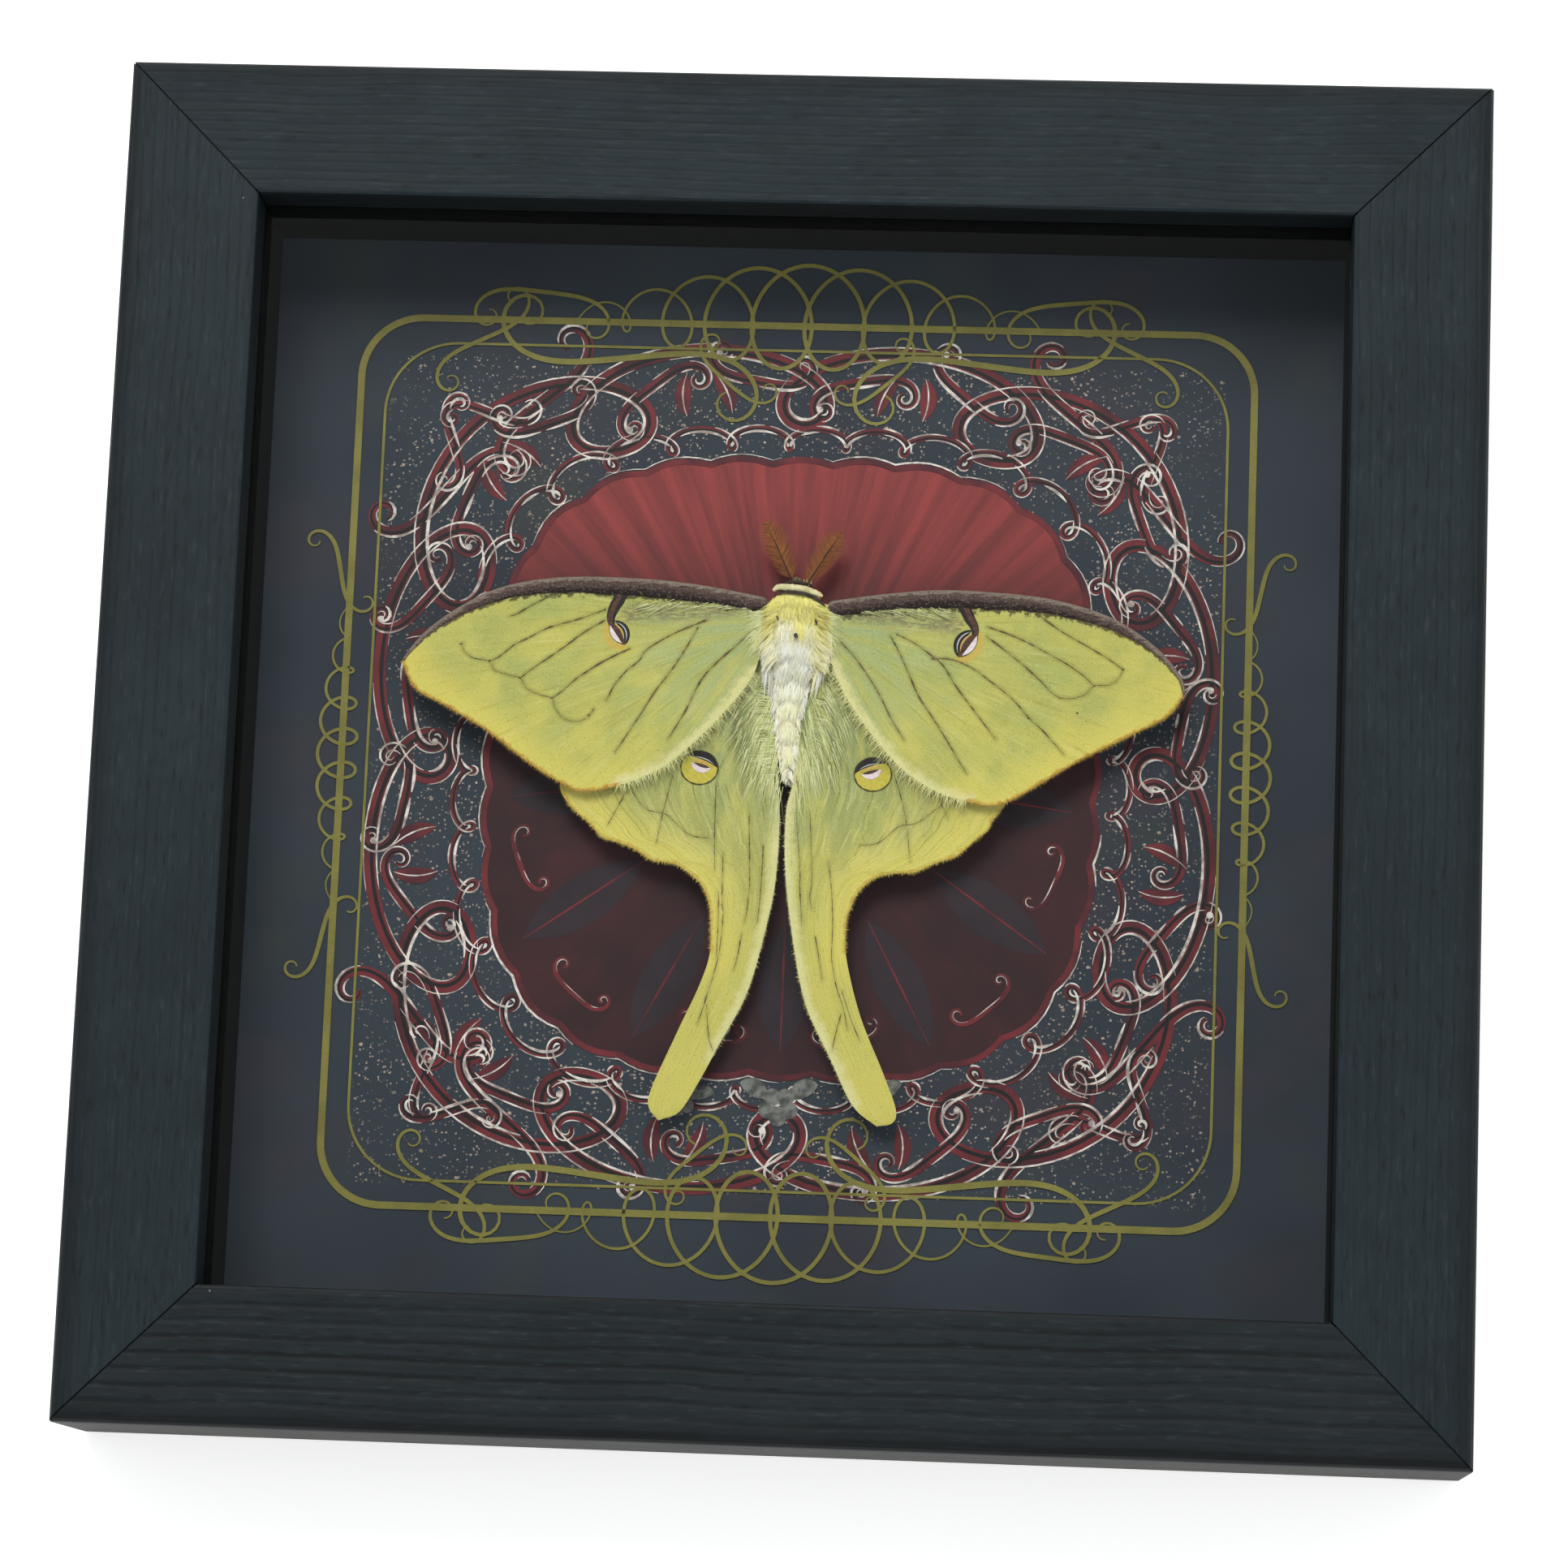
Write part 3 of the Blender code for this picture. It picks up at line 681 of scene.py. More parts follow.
@dataclass(frozen=True)
class WingScales:
    """The powdery yellow-green of the wings, painted by the distances stored on the membrane."""

    name: str
    warmth: float
    streakiness: float
    rim: float
    shade: float
    shade_reach: float
    green: Colour = screen(174, 171, 92)
    leaf: Colour = screen(160, 166, 94)
    yellow: Colour = screen(214, 198, 98)
    mist: Colour = screen(156, 172, 128)
    moss: Colour = screen(128, 140, 92)
    ochre: Colour = screen(186, 140, 46)
    rust: Colour = screen(140, 96, 36)
    pale: Colour = screen(214, 206, 148)
    olive: Colour = screen(108, 102, 48)
    smoke: Colour = screen(124, 118, 88)
    glow: Colour = screen(204, 158, 62)
    soot: Colour = screen(56, 46, 34)

    def make(self) -> Material:
        """Builds the nodes.

        Returns:
            The material.
        """
        nodes = Nodes(self.name, Specular_IOR_Level=0.15, Sheen_Weight=0.08, Sheen_Roughness=0.4)
        ray, root = nodes.mark("ray"), nodes.mark("root")
        fan = nodes.vector(nodes.times(ray, MM), nodes.times(root, 0.05 * MM))
        wide = nodes.vector(nodes.times(ray, MM), nodes.times(root, 0.35 * MM))
        cloud = nodes.times(nodes.noise(6.5, detail=4), 0.6)
        cloud = nodes.plus(cloud, nodes.times(nodes.noise(4.0, where=wide), 0.4))
        nodes.colour = nodes.blend(nodes.ramp(cloud, 0.40, 0.62), self.green, self.leaf)
        warm = nodes.noise(9.0, (1.3, 1, 1), 3)
        nodes.coat(nodes.ramp(warm, 0.42, 0.68, self.warmth, 0.45), self.yellow)
        near = nodes.ramp(root, 27.0, 5.0)
        patches = nodes.ramp(nodes.noise(3.2, detail=4, where=wide), 0.36, 0.66, 0.05, 0.8)
        nodes.coat(nodes.times(near, patches), self.mist)
        shadow = nodes.ramp(nodes.noise(2.2, (1, 0.3, 1), 4), 0.35, 0.62, 0.1, self.shade)
        nodes.coat(nodes.times(nodes.ramp(root, self.shade_reach, 5.0), shadow), self.moss)
        margin = nodes.mark("margin")
        nodes.coat(nodes.ramp(margin, 6.0, 0.5, 0.0, 0.7), self.yellow)
        nodes.coat(nodes.ramp(root, 32.0, 60.0, 0.0, 0.6), self.yellow)
        wisps = nodes.ramp(nodes.noise(0.9, (1, 3, 1), 4), 0.35, 0.6, 0.15, 0.95)
        smoke = nodes.times(nodes.ramp(nodes.mark("smoke"), 2.3, 0.4), wisps)
        nodes.coat(smoke, self.smoke)
        streaks, threads = nodes.noise(0.9, where=fan, detail=4), nodes.noise(0.34, where=fan, detail=3)
        strong = nodes.ramp(root, 45.0, 8.0, 0.5 * self.streakiness, self.streakiness)
        weak = nodes.times(strong, 0.5)
        for texture, low, high, weight, tint in (
            (streaks, 0.50, 0.75, weak, self.pale),
            (streaks, 0.46, 0.26, weak, self.olive),
            (threads, 0.56, 0.74, strong, self.pale),
            (threads, 0.44, 0.25, strong, self.olive),
        ):
            nodes.coat(nodes.times(nodes.ramp(texture, low, high), weight), tint)
        inner = nodes.plus(nodes.mark("inner"), nodes.ramp(nodes.noise(1.1, detail=3), 0.2, 0.8, -0.4, 0.4))
        nodes.coat(nodes.ramp(inner, 1.7, 0.3, 0.0, 0.85), self.pale)
        nodes.coat(nodes.ramp(nodes.mark("vein"), 0.6, 0.05, 0.0, 0.44 * self.rim), self.olive)
        ragged = nodes.ramp(nodes.noise(0.7, detail=4), 0.25, 0.75, -0.22, 0.22)
        edge = nodes.plus(margin, ragged)
        nodes.coat(nodes.ramp(edge, 0.48, 0.2, 0.0, self.rim), self.ochre)
        nodes.coat(nodes.ramp(edge, 0.2, 0.0, 0.0, self.rim * 0.8), self.rust)
        dusk = nodes.plus(nodes.mark("costa"), ragged)
        nodes.coat(nodes.ramp(dusk, 0.2, 0.0, 0.0, 0.85), self.soot)
        nodes.coat(nodes.ramp(nodes.mark("glow"), 0.8, 0.1, 0.0, 0.55), self.glow)
        grain = nodes.noise(0.24, detail=4)
        nodes.coat(nodes.ramp(grain, 0.44, 0.24, 0.0, 0.5), self.olive)
        nodes.coat(nodes.ramp(grain, 0.56, 0.76, 0.0, 0.5), self.pale)
        height = nodes.plus(nodes.times(streaks, 0.6), nodes.times(grain, 0.4))
        nodes.relief(height, 0.16)
        return nodes.finished(0.9)


@dataclass(frozen=True)
class CostaScales:
    """The purple-brown of the leading rib: light in front, dark behind."""

    front: Colour = screen(138, 122, 110)
    middle: Colour = screen(84, 66, 62)
    rear: Colour = screen(34, 25, 22)

    def make(self) -> Material:
        """Builds the nodes.

        Returns:
            The material, which reads how far behind the wing's front edge a place lies.
        """
        nodes = Nodes("costa_purple_brown", Specular_IOR_Level=0.15)
        streaks = nodes.noise(0.42, (0.35, 1.5, 1), 4)
        place = nodes.plus(nodes.mark("behind"), nodes.ramp(streaks, 0.25, 0.75, -0.35, 0.35))
        nodes.colour = nodes.blend(nodes.ramp(place, 0.15, 0.75), self.front, self.middle)
        nodes.coat(nodes.ramp(place, 1.05, 1.75, 0.0, 0.9), self.rear)
        grain = nodes.noise(0.28, detail=4)
        nodes.coat(nodes.ramp(grain, 0.52, 0.72, 0.0, 0.6), self.front)
        nodes.coat(nodes.ramp(grain, 0.47, 0.27, 0.0, 0.8), self.rear)
        nodes.relief(nodes.plus(streaks, grain), 0.22)
        return nodes.finished(0.9)


@dataclass(frozen=True)
class HairTone:
    """Hair between two colours: tone picks the colour, shade darkens single hairs and lays painted shade in the
    body's folds, blush warms the skin.
    """

    name: str
    first: Colour
    second: Colour
    dark: Colour

    def make(self) -> Material:
        """Builds the nodes.

        Returns:
            The material.
        """
        nodes = Nodes(self.name, Specular_IOR_Level=0.25, Sheen_Weight=0.15, Roughness=0.8)
        nodes.colour = nodes.blend(nodes.mark("tone"), self.first, self.second)
        nodes.coat(nodes.mark("shade"), self.dark)
        nodes.coat(nodes.times(nodes.mark("blush"), 0.6), screen(226, 150, 120))
        return nodes.finished()


# Hair


@dataclass
class Hairs:
    """A growth of fine tapering hairs, joined in one mesh."""

    name: str
    material: Material
    slot: str
    cuts: int = 2
    roundness: float = 0.0
    lock_lift: float = 0.2
    lock_radius: float = 0.048
    rows: list[tuple[np.ndarray, ...]] = field(default_factory=list)

    def grow(
        self,
        roots: np.ndarray,
        tips: np.ndarray,
        lift: np.ndarray | float,
        radius: float,
        tone: np.ndarray | float,
        shade: np.ndarray | float,
    ) -> None:
        """Adds hairs.

        Args:
            roots: Where they start, one row each, in millimetres.
            tips: Where they end.
            lift: How far each middle stands over the straight line.
            radius: Their radius at the root.
            tone: Which colour each has, from 0 to 1.
            shade: How dark each is, from 0 to 1.
        """
        middles = (roots + tips) / 2
        middles[:, 2] += lift
        numbers = (np.broadcast_to(value, len(roots)) for value in (radius, tone, shade))
        self.rows.append((roots, middles, tips, *numbers))

    def grow_locks(
        self,
        roots: np.ndarray,
        tips: np.ndarray,
        each: int,
        spread: float,
        tone: np.ndarray,
        deep: np.ndarray,
        rng: np.random.Generator,
    ) -> None:
        """Adds locks, whose hairs draw together at the tip.

        Args:
            roots: Where the locks start.
            tips: Where they end.
            each: How many hairs one lock has.
            spread: How far apart its hairs start.
            tone: Which colour each lock has.
            deep: How much painted shade each lock takes besides, in the folds of the thorax, from 0 to 1.
            rng: Where the chance comes from.
        """
        count = len(roots) * each
        lock = np.repeat(np.arange(len(roots)), each)
        flat = np.array((1.0, 1.0, 0.4))
        starts = roots[lock] + rng.normal(0, spread, (count, 3)) * flat
        ends = roots[lock] + (tips - roots)[lock] * rng.uniform(0.65, 1.05, (count, 1))
        ends += rng.normal(0, spread * 0.35, (count, 3)) * flat
        lifts = self.lock_lift + rng.uniform(0, spread, count)
        shade = rng.uniform(0, 0.24, len(roots))[lock] * rng.uniform(0, 1.4, count)
        shade = np.where(rng.random(count) < 0.05, rng.uniform(0.5, 0.95, count), shade)
        shade = np.clip(shade + deep[lock], 0, 1)
        tones = np.clip(tone[lock] + rng.uniform(-0.12, 0.12, count), 0, 1)
        self.grow(starts, ends, lifts, self.lock_radius, tones, shade)

    def template(self) -> tuple[np.ndarray, np.ndarray]:
        """Builds one hair of height and radius 1.

        Returns:
            Its vertices and its triangles.
        """
        shape = bmesh.new()
        bmesh.ops.create_cone(shape, cap_ends=True, segments=3, radius1=1.0, radius2=0.0, depth=1.0)
        bmesh.ops.remove_doubles(shape, verts=shape.verts, dist=WELD)
        bmesh.ops.translate(shape, vec=(0, 0, 0.5), verts=shape.verts)
        for number in range(self.cuts):
            level = (0, 0, (number + 1) / (self.cuts + 1))
            geometry = shape.verts[:] + shape.edges[:] + shape.faces[:]
            bmesh.ops.bisect_plane(shape, geom=geometry, plane_co=level, plane_no=(0, 0, 1))
        bmesh.ops.triangulate(shape, faces=shape.faces)
        shape.verts.index_update()
        places = np.array([vertex.co[:] for vertex in shape.verts])
        faces = np.array([[vertex.index for vertex in face.verts] for face in shape.faces])
        shape.free()
        return places, faces

    def build(self, replaced: Sequence[str] = ()) -> bpy.types.Object:
        """Copies the template along every hair's curve, and joins the copies in one piece.

        The hairs take the light as the coat that they form does, by its own normals.

        Args:
            replaced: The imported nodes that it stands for.

        Returns:
            The new object.
        """
        roots, middles, tips, radii, tones, shades = (np.concatenate(parts) for parts in zip(*self.rows))
        places, faces = self.template()
        count, size = len(roots), len(places)
        along = places[:, 2][None, :, None]
        line = (1 - along) ** 2 * roots[:, None] + 2 * along * (1 - along) * middles[:, None]
        line = line + along**2 * tips[:, None]
        ahead = tips - roots
        ahead /= np.linalg.norm(ahead, axis=1, keepdims=True) + 1e-9
        first = np.cross(ahead, np.array((0.31, 0.17, 0.94)))
        first /= np.linalg.norm(first, axis=1, keepdims=True) + 1e-9
        second = np.cross(ahead, first)
        wide = places[:, 0][None, :, None] * first[:, None] + places[:, 1][None, :, None] * second[:, None]
        vertices = (line + radii[:, None, None] * wide) * MM
        corners = faces[None] + (np.arange(count) * size)[:, None, None]
        mesh = bpy.data.meshes.new(self.name)
        mesh.from_pydata(vertices.reshape(-1, 3).tolist(), [], corners.reshape(-1, 3).tolist())
        mark(mesh, "tone", np.repeat(tones, size))
        mark(mesh, "shade", np.repeat(shades, size))
        obj = add_piece(self.name, mesh, self.material, replaced)
        coat = np.column_stack((self.roundness * roots[:, 0], np.zeros(count), np.ones(count)))
        coat /= np.linalg.norm(coat, axis=1, keepdims=True)
        mesh.normals_split_custom_set_from_vertices(np.repeat(coat, size, axis=0).tolist())
        return obj


# Flat shapes that lie on a surface


@dataclass
class Inlay:
    """Thin flat shapes that lie on a surface, joined in one piece."""

    name: str
    material: Material
    slot: str
    surface: Surface
    lift: float
    thickness: float
    step: float = 0.0006
    steps: int = 16
    strokes: int = 0
    climb: float = 0.006
    shape: bmesh.types.BMesh = field(default_factory=bmesh.new)

    def level(self) -> float:
        """The height of the next stroke over the surface, a little unlike its neighbours'."""
        self.strokes += 1
        return self.lift + self.strokes % self.steps * self.step

    def between(self, first: np.ndarray, second: np.ndarray, rows: int = 1) -> None:
        """Fills the strip between two lines that have the same number of points.

        A single row climbs a little on its way, so that a line that crosses itself passes over itself.

        Args:
            first: The line on one side.
            second: The line on the other side.
            rows: How many faces it has across.
        """
        last = len(first) - 1
        level = self.level()
        climb = self.climb if rows == 1 else 0.0

        def place(u: float, v: float) -> Place:
            """Where one corner of the strip lies."""
            number = round(u * last)
            x, y = first[number] * (1 - v) + second[number] * v
            return x, y, self.surface(x, y) + level + climb * u

        map_grid(self.shape, last, rows, place)

    def stroke(self, path: np.ndarray, width: float | np.ndarray, offset: float | np.ndarray = 0.0) -> None:
        """Draws a line of a width, which may change along it, moved to its left by an offset.

        Args:
            path: The line to follow.
            width: Its width, or one for each point.
            offset: How far to the left it lies, or one for each point.
        """
        normals = normals_of(path)
        middle = path + normals * np.broadcast_to(offset, len(path))[:, None]
        half = np.broadcast_to(np.asarray(width, float) / 2, len(path))[:, None]
        self.between(middle - normals * half, middle + normals * half)

    def swell(self, path: np.ndarray, width: float, ends: float = 0.25, offset: float = 0.0) -> None:
        """Draws a line that swells in its middle, as a pen does."""
        share = np.sin(np.pi * np.linspace(0, 1, len(path)))
        self.stroke(path, width * (ends + (1 - ends) * share), offset)

    def leaf(self, base: Sequence[float], tip: Sequence[float], width: float, lean: float = 0.0) -> None:
        """Draws a pointed leaf, whose middle leans to its left."""
        count = 9
        self.between(bow(base, tip, lean - width / 2, count), bow(base, tip, lean + width / 2, count), 2)

    def disc(
        self, centre: Sequence[float], radius: float, height: float | None = None, sides: int = 24
    ) -> None:
        """Draws a round or oval spot.

        Args:
            centre: Its middle.
            radius: Half its size along X.
            height: Half its size along Y, where it is oval.
            sides: How many sides its rim has.
        """
        height = radius if height is None else height
        level = self.level()

        def place(u: float, v: float) -> Place:
            """Where one corner of the spot lies."""
            turn = 2 * math.pi * u
            x, y = centre[0] + radius * v * math.cos(turn), centre[1] + height * v * math.sin(turn)
            return x, y, self.surface(x, y) + level

        map_grid(self.shape, sides, 3, place)

    def build(self) -> bpy.types.Object:
        """Makes the piece, with its thickness below its face.

        Returns:
            The new object.
        """
        bmesh.ops.remove_doubles(self.shape, verts=self.shape.verts, dist=WELD)
        face_up(self.shape)
        close_sheet(self.shape, self.thickness)
        return add_piece(self.name, self.shape, self.material, sharp=True)


# The frame and its layers


@dataclass
class BoxFrame:
    """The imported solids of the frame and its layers, each with its own finish, and the glue in the mitres."""

    specks_half: float = 56.0
    glue_thickness: float = 0.24
    section: Points = (
        (77.3, 0.2), (88.4, 0.2), (88.7, 0.5), (88.7, 24.0), (88.35, 24.85), (87.5, 25.2),
        (71.6, 25.2), (71.3, 24.9), (71.3, 19.9), (77.3, 19.9),
    )  # fmt: skip

    def fill_mitres(self) -> None:
        """Builds the dark glue of the four mitres: in each, a thin sheet with the rails' own section."""
        shape = bmesh.new()
        for x, y in ((1, 1), (-1, 1), (-1, -1), (1, -1)):
            side = Vector((-y, x, 0)).normalized() * self.glue_thickness / 2
            corners = [Vector((x * reach, y * reach, height)) - side for reach, height in self.section]
            rim = [shape.verts.new(corner * MM) for corner in corners]
            face = bmesh.ops.contextual_create(shape, geom=rim)["faces"]
            grown = bmesh.ops.extrude_face_region(shape, geom=face)["geom"]
            far = [part for part in grown if isinstance(part, bmesh.types.BMVert)]
            bmesh.ops.translate(shape, vec=side * 2 * MM, verts=far)
        bmesh.ops.recalc_face_normals(shape, faces=shape.faces)
        glue = PlainFinish(
            "dark_glue", screen(14, 19, 21), screen(20, 26, 29), 1.5, (0.6, 0.8), gloss=0.1
        ).make()
        add_piece("mitre_glue", shape, glue, sharp=True)

    def dress(self) -> None:
        """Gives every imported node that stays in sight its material."""
        lengthwise = PaintedWood(
            "black_paint_across", Axis.X, 1.3, 0.15, 0.02, dark=screen(18, 28, 32), light=screen(25, 36, 41)
        ).make()
        upright = PaintedWood("black_paint_upright", Axis.Y, 1.5, 0.28, 0.03).make()
        grooved = PaintedWood(
            "black_paint_grooved", Axis.X, 2.1, 0.85, 0.05, 0.6, screen(19, 26, 29), screen(26, 33, 36)
        ).make()
        lining = PlainFinish(
            "black_lining_paper", screen(5, 6, 6), screen(10, 11, 11), 2.4, (0.75, 0.9), depth=0.01,
            gloss=0.12,
        ).make()
        board = PlainFinish(
            "grey_board_fibre", screen(150, 136, 114), screen(128, 113, 92), 3.0, (0.8, 0.95),
            stretch=(1, 2.5, 1),
        ).make()
        steel = PlainFinish(
            "bright_steel", screen(176, 176, 174), screen(140, 139, 136), 2.2, (0.28, 0.45), 1.0,
            (1, 6, 1), 0.01,
        ).make()
        pin = PlainFinish(
            "dark_pin_steel", screen(58, 56, 56), screen(34, 33, 34), 0.8, (0.3, 0.45), 1.0, depth=0.005
        ).make()
        horn = PlainFinish(
            "leg_brown_horn", screen(112, 82, 78), screen(74, 50, 48), 0.8, (0.6, 0.8), depth=0.02
        ).make()
        finishes = {
            "rail_top": lengthwise,
            "rail_bottom": grooved,
            "rail_": upright,
            "glass": Pane().make(),
            "printed_card": SlateCard(self.specks_half).make(),
            "back_board": board,
            "mounting_pin": pin,
            "spacer_": lining,
            "glazing_point_": steel,
            "hanger": steel,
            "leg_": horn,
        }
        for name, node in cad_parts.items():
            finish = next((made for start, made in finishes.items() if name.startswith(start)), None)
            if finish:
                node.data.materials.clear()
                node.data.materials.append(finish)
                LOG.info("%s: dressed with %s", name, finish.name)


# The card's ornament


def card_face(_x: float, _y: float) -> float:
    """The height of the card's face, which is level."""
    return CARD_TOP


@dataclass
class CardPrint:
    """A generic ornament in gold, crimson, silver and maroon: a border, a ring of scrolls and a medallion."""

    centre: Pair = (0.0, 1.0)
    ring_half: Pair = (45.0, 46.0)
    ring_square: float = 3.0
    bays: int = 12
    scallops: int = 32
    medallion_inset: float = 5.5
    border_half: float = 59.5
    notch: float = 8.0
    layer: float = 0.012
    seed: int = 31

    def __post_init__(self) -> None:
        """Makes the inks and one inlay for each, in the order in which they lie on each other."""
        maroon = Ink(
            "maroon_ink", screen(62, 24, 29), screen(48, 20, 25), 9.0, top=screen(150, 58, 56), top_from=6,
            top_to=38,
        )
        inks = {
            "maroon": maroon,
            "slate": Ink("slate_leaf_ink", screen(46, 34, 41), screen(38, 28, 34), 7.0),
            "crimson": Ink("crimson_ink", screen(112, 36, 42), screen(72, 24, 32), 6.0),
            "black": Ink("black_ink", screen(24, 18, 22), screen(16, 14, 16)),
            "silver": Ink("silver_ink", screen(232, 222, 214), screen(150, 136, 130), 1.6),
            "petal": Ink("petal_ink", screen(122, 122, 116), screen(70, 70, 68), 1.4),
            "gold": Ink("gold_ink", screen(133, 126, 60), screen(116, 110, 50), 8.0),
        }
        self.rng = np.random.default_rng(self.seed)
        self.inlays: dict[str, Inlay] = {}
        for number, (word, ink) in enumerate(inks.items(), 1):
            lift = number * 2 * self.layer
            self.inlays[word] = Inlay(
                "print_" + word, ink.make(), "printed_paper", card_face, lift, self.layer
            )

    def reach(self, turn: float) -> float:
        """How far the ring's middle line lies from the centre, in one direction.

        Args:
            turn: The direction, as an angle.

        Returns:
            The distance.
        """
        wide, high = self.ring_half
        power = self.ring_square
        share = abs(math.cos(turn) / wide) ** power + abs(math.sin(turn) / high) ** power
        return share ** (-1 / power)

    def round(self, turn: np.ndarray | float, out: np.ndarray | float) -> np.ndarray:
        """Places round the ring: a direction from the centre, and how far outside its middle line.

        Args:
            turn: The direction, or several.
            out: The distance from the middle line, or several.

        Returns:
            The places, one row each.
        """
        turn = np.atleast_1d(turn)
        reach = np.array([self.reach(value) for value in turn]) + out
        return np.stack((reach * np.cos(turn), reach * np.sin(turn)), axis=1) + np.array(self.centre)

    def scroll(
        self,
        at: Sequence[float],
        angle: float,
        length: float,
        turns: float,
        bend: float = 0.0,
        same_way: bool = True,
        count: int = 72,
    ) -> np.ndarray:
        """A pen flourish that curls up at both ends.

        Args:
            at: The place of its middle.
            angle: The direction of its middle.
            length: Its length.
            turns: How many turns each end makes, to the left where it is over 0.
            bend: How many turns the whole line bends besides.
            same_way: Whether both ends curl to the same side, as in a C, or not, as in an S.
            count: How many points it has.

        Returns:
            Its points.
        """
        share = np.linspace(-1, 1, count)
        tight = 3 * turns * share**2 * (1.0 if same_way else np.sign(share))
        course = np.cumsum(2 * math.pi * (tight + bend / 2)) * (share[1] - share[0])
        course += angle - course[count // 2]
        path = np.cumsum(np.stack((np.cos(course), np.sin(course)), axis=1), axis=0) * length / count
        return path - path[count // 2] + np.array(at)

    def chain(self, loops: int, out: float, rise: float, swing: float, phase: float) -> np.ndarray:
        """A closed chain of loops round the ring, which are larger at its corners.

        Args:
            loops: How many loops it has.
            out: How far outside the ring's middle line it runs.
            rise: How far it swings to both sides of that.
            swing: How far it swings along the ring, as an angle.
            phase: The share of a loop by which it is turned on.

        Returns:
            Its points.
        """
        turn = np.linspace(0, 2 * math.pi, loops * 56 + 1)
        beat = loops * turn + 2 * math.pi * phase
        grown = 1 - 0.15 * np.cos(4 * turn)
        return self.round(turn + swing * grown * np.sin(beat), out + rise * grown * np.cos(beat))

    def coil(self, at: Sequence[float], span: float, loops: int, rise: float) -> np.ndarray:
        """A pen line of round loops along X, which are widest in its middle.

        Args:
            at: The place of its middle.
            span: How far apart its ends are.
            loops: How many loops it has.
            rise: How high its middle loops reach.

        Returns:
            Its points.
        """
        share = np.linspace(-1, 1, loops * 44 + 1)
        swell = rise * (0.12 + 0.88 * np.cos(math.pi / 2 * share) ** 1.3)
        beat = math.pi * loops * share
        x = span / 2 * share + 0.8 * swell * np.sin(beat)
        return np.stack((x, swell * np.cos(beat)), axis=1) + np.array(at)

    def glints(self, path: np.ndarray, width: float, offset: np.ndarray) -> None:
        """Draws a silver line with gaps beside a path, as light catches an embossed edge.

        Args:
            path: The path.
            width: How wide the line is on the whole.
            offset: How far to the left it lies at each point.
        """
        start = int(self.rng.integers(0, 4))
        while start < len(path) - 4:
            end = min(len(path), start + int(self.rng.integers(6, 24)))
            self.inlays["silver"].swell(
                path[start:end], width * self.rng.uniform(0.6, 1.25), 0.3, offset[start:end]
            )
            start = end + int(self.rng.integers(1, 9))

    def ribbon(self, path: np.ndarray, width: float) -> None:
        """Draws a crimson line with a dark groove and broken silver edges, narrower at its ends.

        Args:
            path: The line to follow.
            width: Its greatest width.
        """
        share = np.linspace(-1, 1, len(path))
        taper = 0.0 if np.allclose(path[0], path[-1]) else 0.6
        widths = width * (1 - taper * share**2)
        self.inlays["crimson"].stroke(path, widths)
        self.inlays["black"].stroke(path, widths * 0.3, widths * 0.12)
        self.glints(path, 0.36, widths * 0.5)
        self.glints(path, 0.22, widths * -0.52)

    def medallion(self) -> None:
        """Prints the silky field behind the moth, with dim leaves on its lower part and a line round it."""
        turn = np.linspace(0, 2 * math.pi, 6 * self.scallops + 1)
        rim = self.round(turn, -self.medallion_inset + 0.8 * np.abs(np.cos(self.scallops / 2 * turn)))
        middle = np.broadcast_to(np.array(self.centre), rim.shape)
        self.inlays["maroon"].between(middle + (rim - middle) * 0.02, rim, 3)
        self.inlays["crimson"].stroke(rim, 0.8)
        self.glints(rim, 0.28, np.full(len(rim), -0.6))
        for angle in np.radians((-172, -145, -118, -90, -62, -35, -8)):
            reach = self.reach(angle) - self.medallion_inset
            ahead = heading(angle)
            base, tip = (np.array(self.centre) + ahead * reach * share for share in (0.52, 0.94))
            self.inlays["slate"].leaf(base, tip, 6.5)
            self.inlays["crimson"].swell(np.linspace(base, tip, 9), 0.3)
        for angle in np.radians((-158, -131, -104, -76, -49, -22)):
            at = self.round(angle, -self.medallion_inset - 4.2)[0]
            tendril = self.scroll(at, angle + math.pi / 2, 17.0, 1.0)
            self.inlays["crimson"].swell(tendril, 0.7, 0.4)
            self.glints(tendril, 0.14, np.full(len(tendril), 0.2))

    def ring(self) -> None:
        """Prints two chains of loops round the medallion, with scrolls, leaves and beads between them."""
        crimson, silver = self.inlays["crimson"], self.inlays["silver"]
        self.ribbon(self.chain(self.bays, 5.0, 6.0, 0.20, 0.5), 1.7)
        self.ribbon(self.chain(3 * self.bays, -1.9, 1.6, 0.045, 0.25), 0.8)
        for number in range(2 * self.bays):
            angle = math.pi * (number + 0.5) / self.bays
            side = 1 if number % 2 else -1
            at = self.round(angle, 6.0)[0]
            path = self.scroll(at, angle + math.pi / 2 + side * 0.3, 27.0, side * 1.1)
            self.ribbon(path, 1.35)
            silver.disc(path[-1], 0.45, sides=10)
            base = self.round(angle - side * 0.07, 1.5)[0]
            tip = self.round(angle - side * 0.10, 7.5)[0]
            crimson.leaf(base, tip, 2.2, 0.6 * side)
            silver.swell(bow(base, tip, 0.6 * side, 7), 0.22)

    def corners(self) -> None:
        """Prints a pair of large scrolls and a pair of small ones in each corner inside the border."""
        for quarter in range(4):
            corner = math.pi / 4 + quarter * math.pi / 2
            for side in (1, -1):
                for out, shift, tilt, length, turns, width in (
                    (9.0, 0.15, 0.10, 37.0, 1.0, 1.6),
                    (12.0, 0.05, 1.15, 22.0, 1.0, 1.2),
                ):
                    at = self.round(corner + side * shift, out)[0]
                    path = self.scroll(
                        at, corner + math.pi / 2 + side * tilt, length, -side * turns, same_way=False
                    )
                    self.ribbon(path, width)

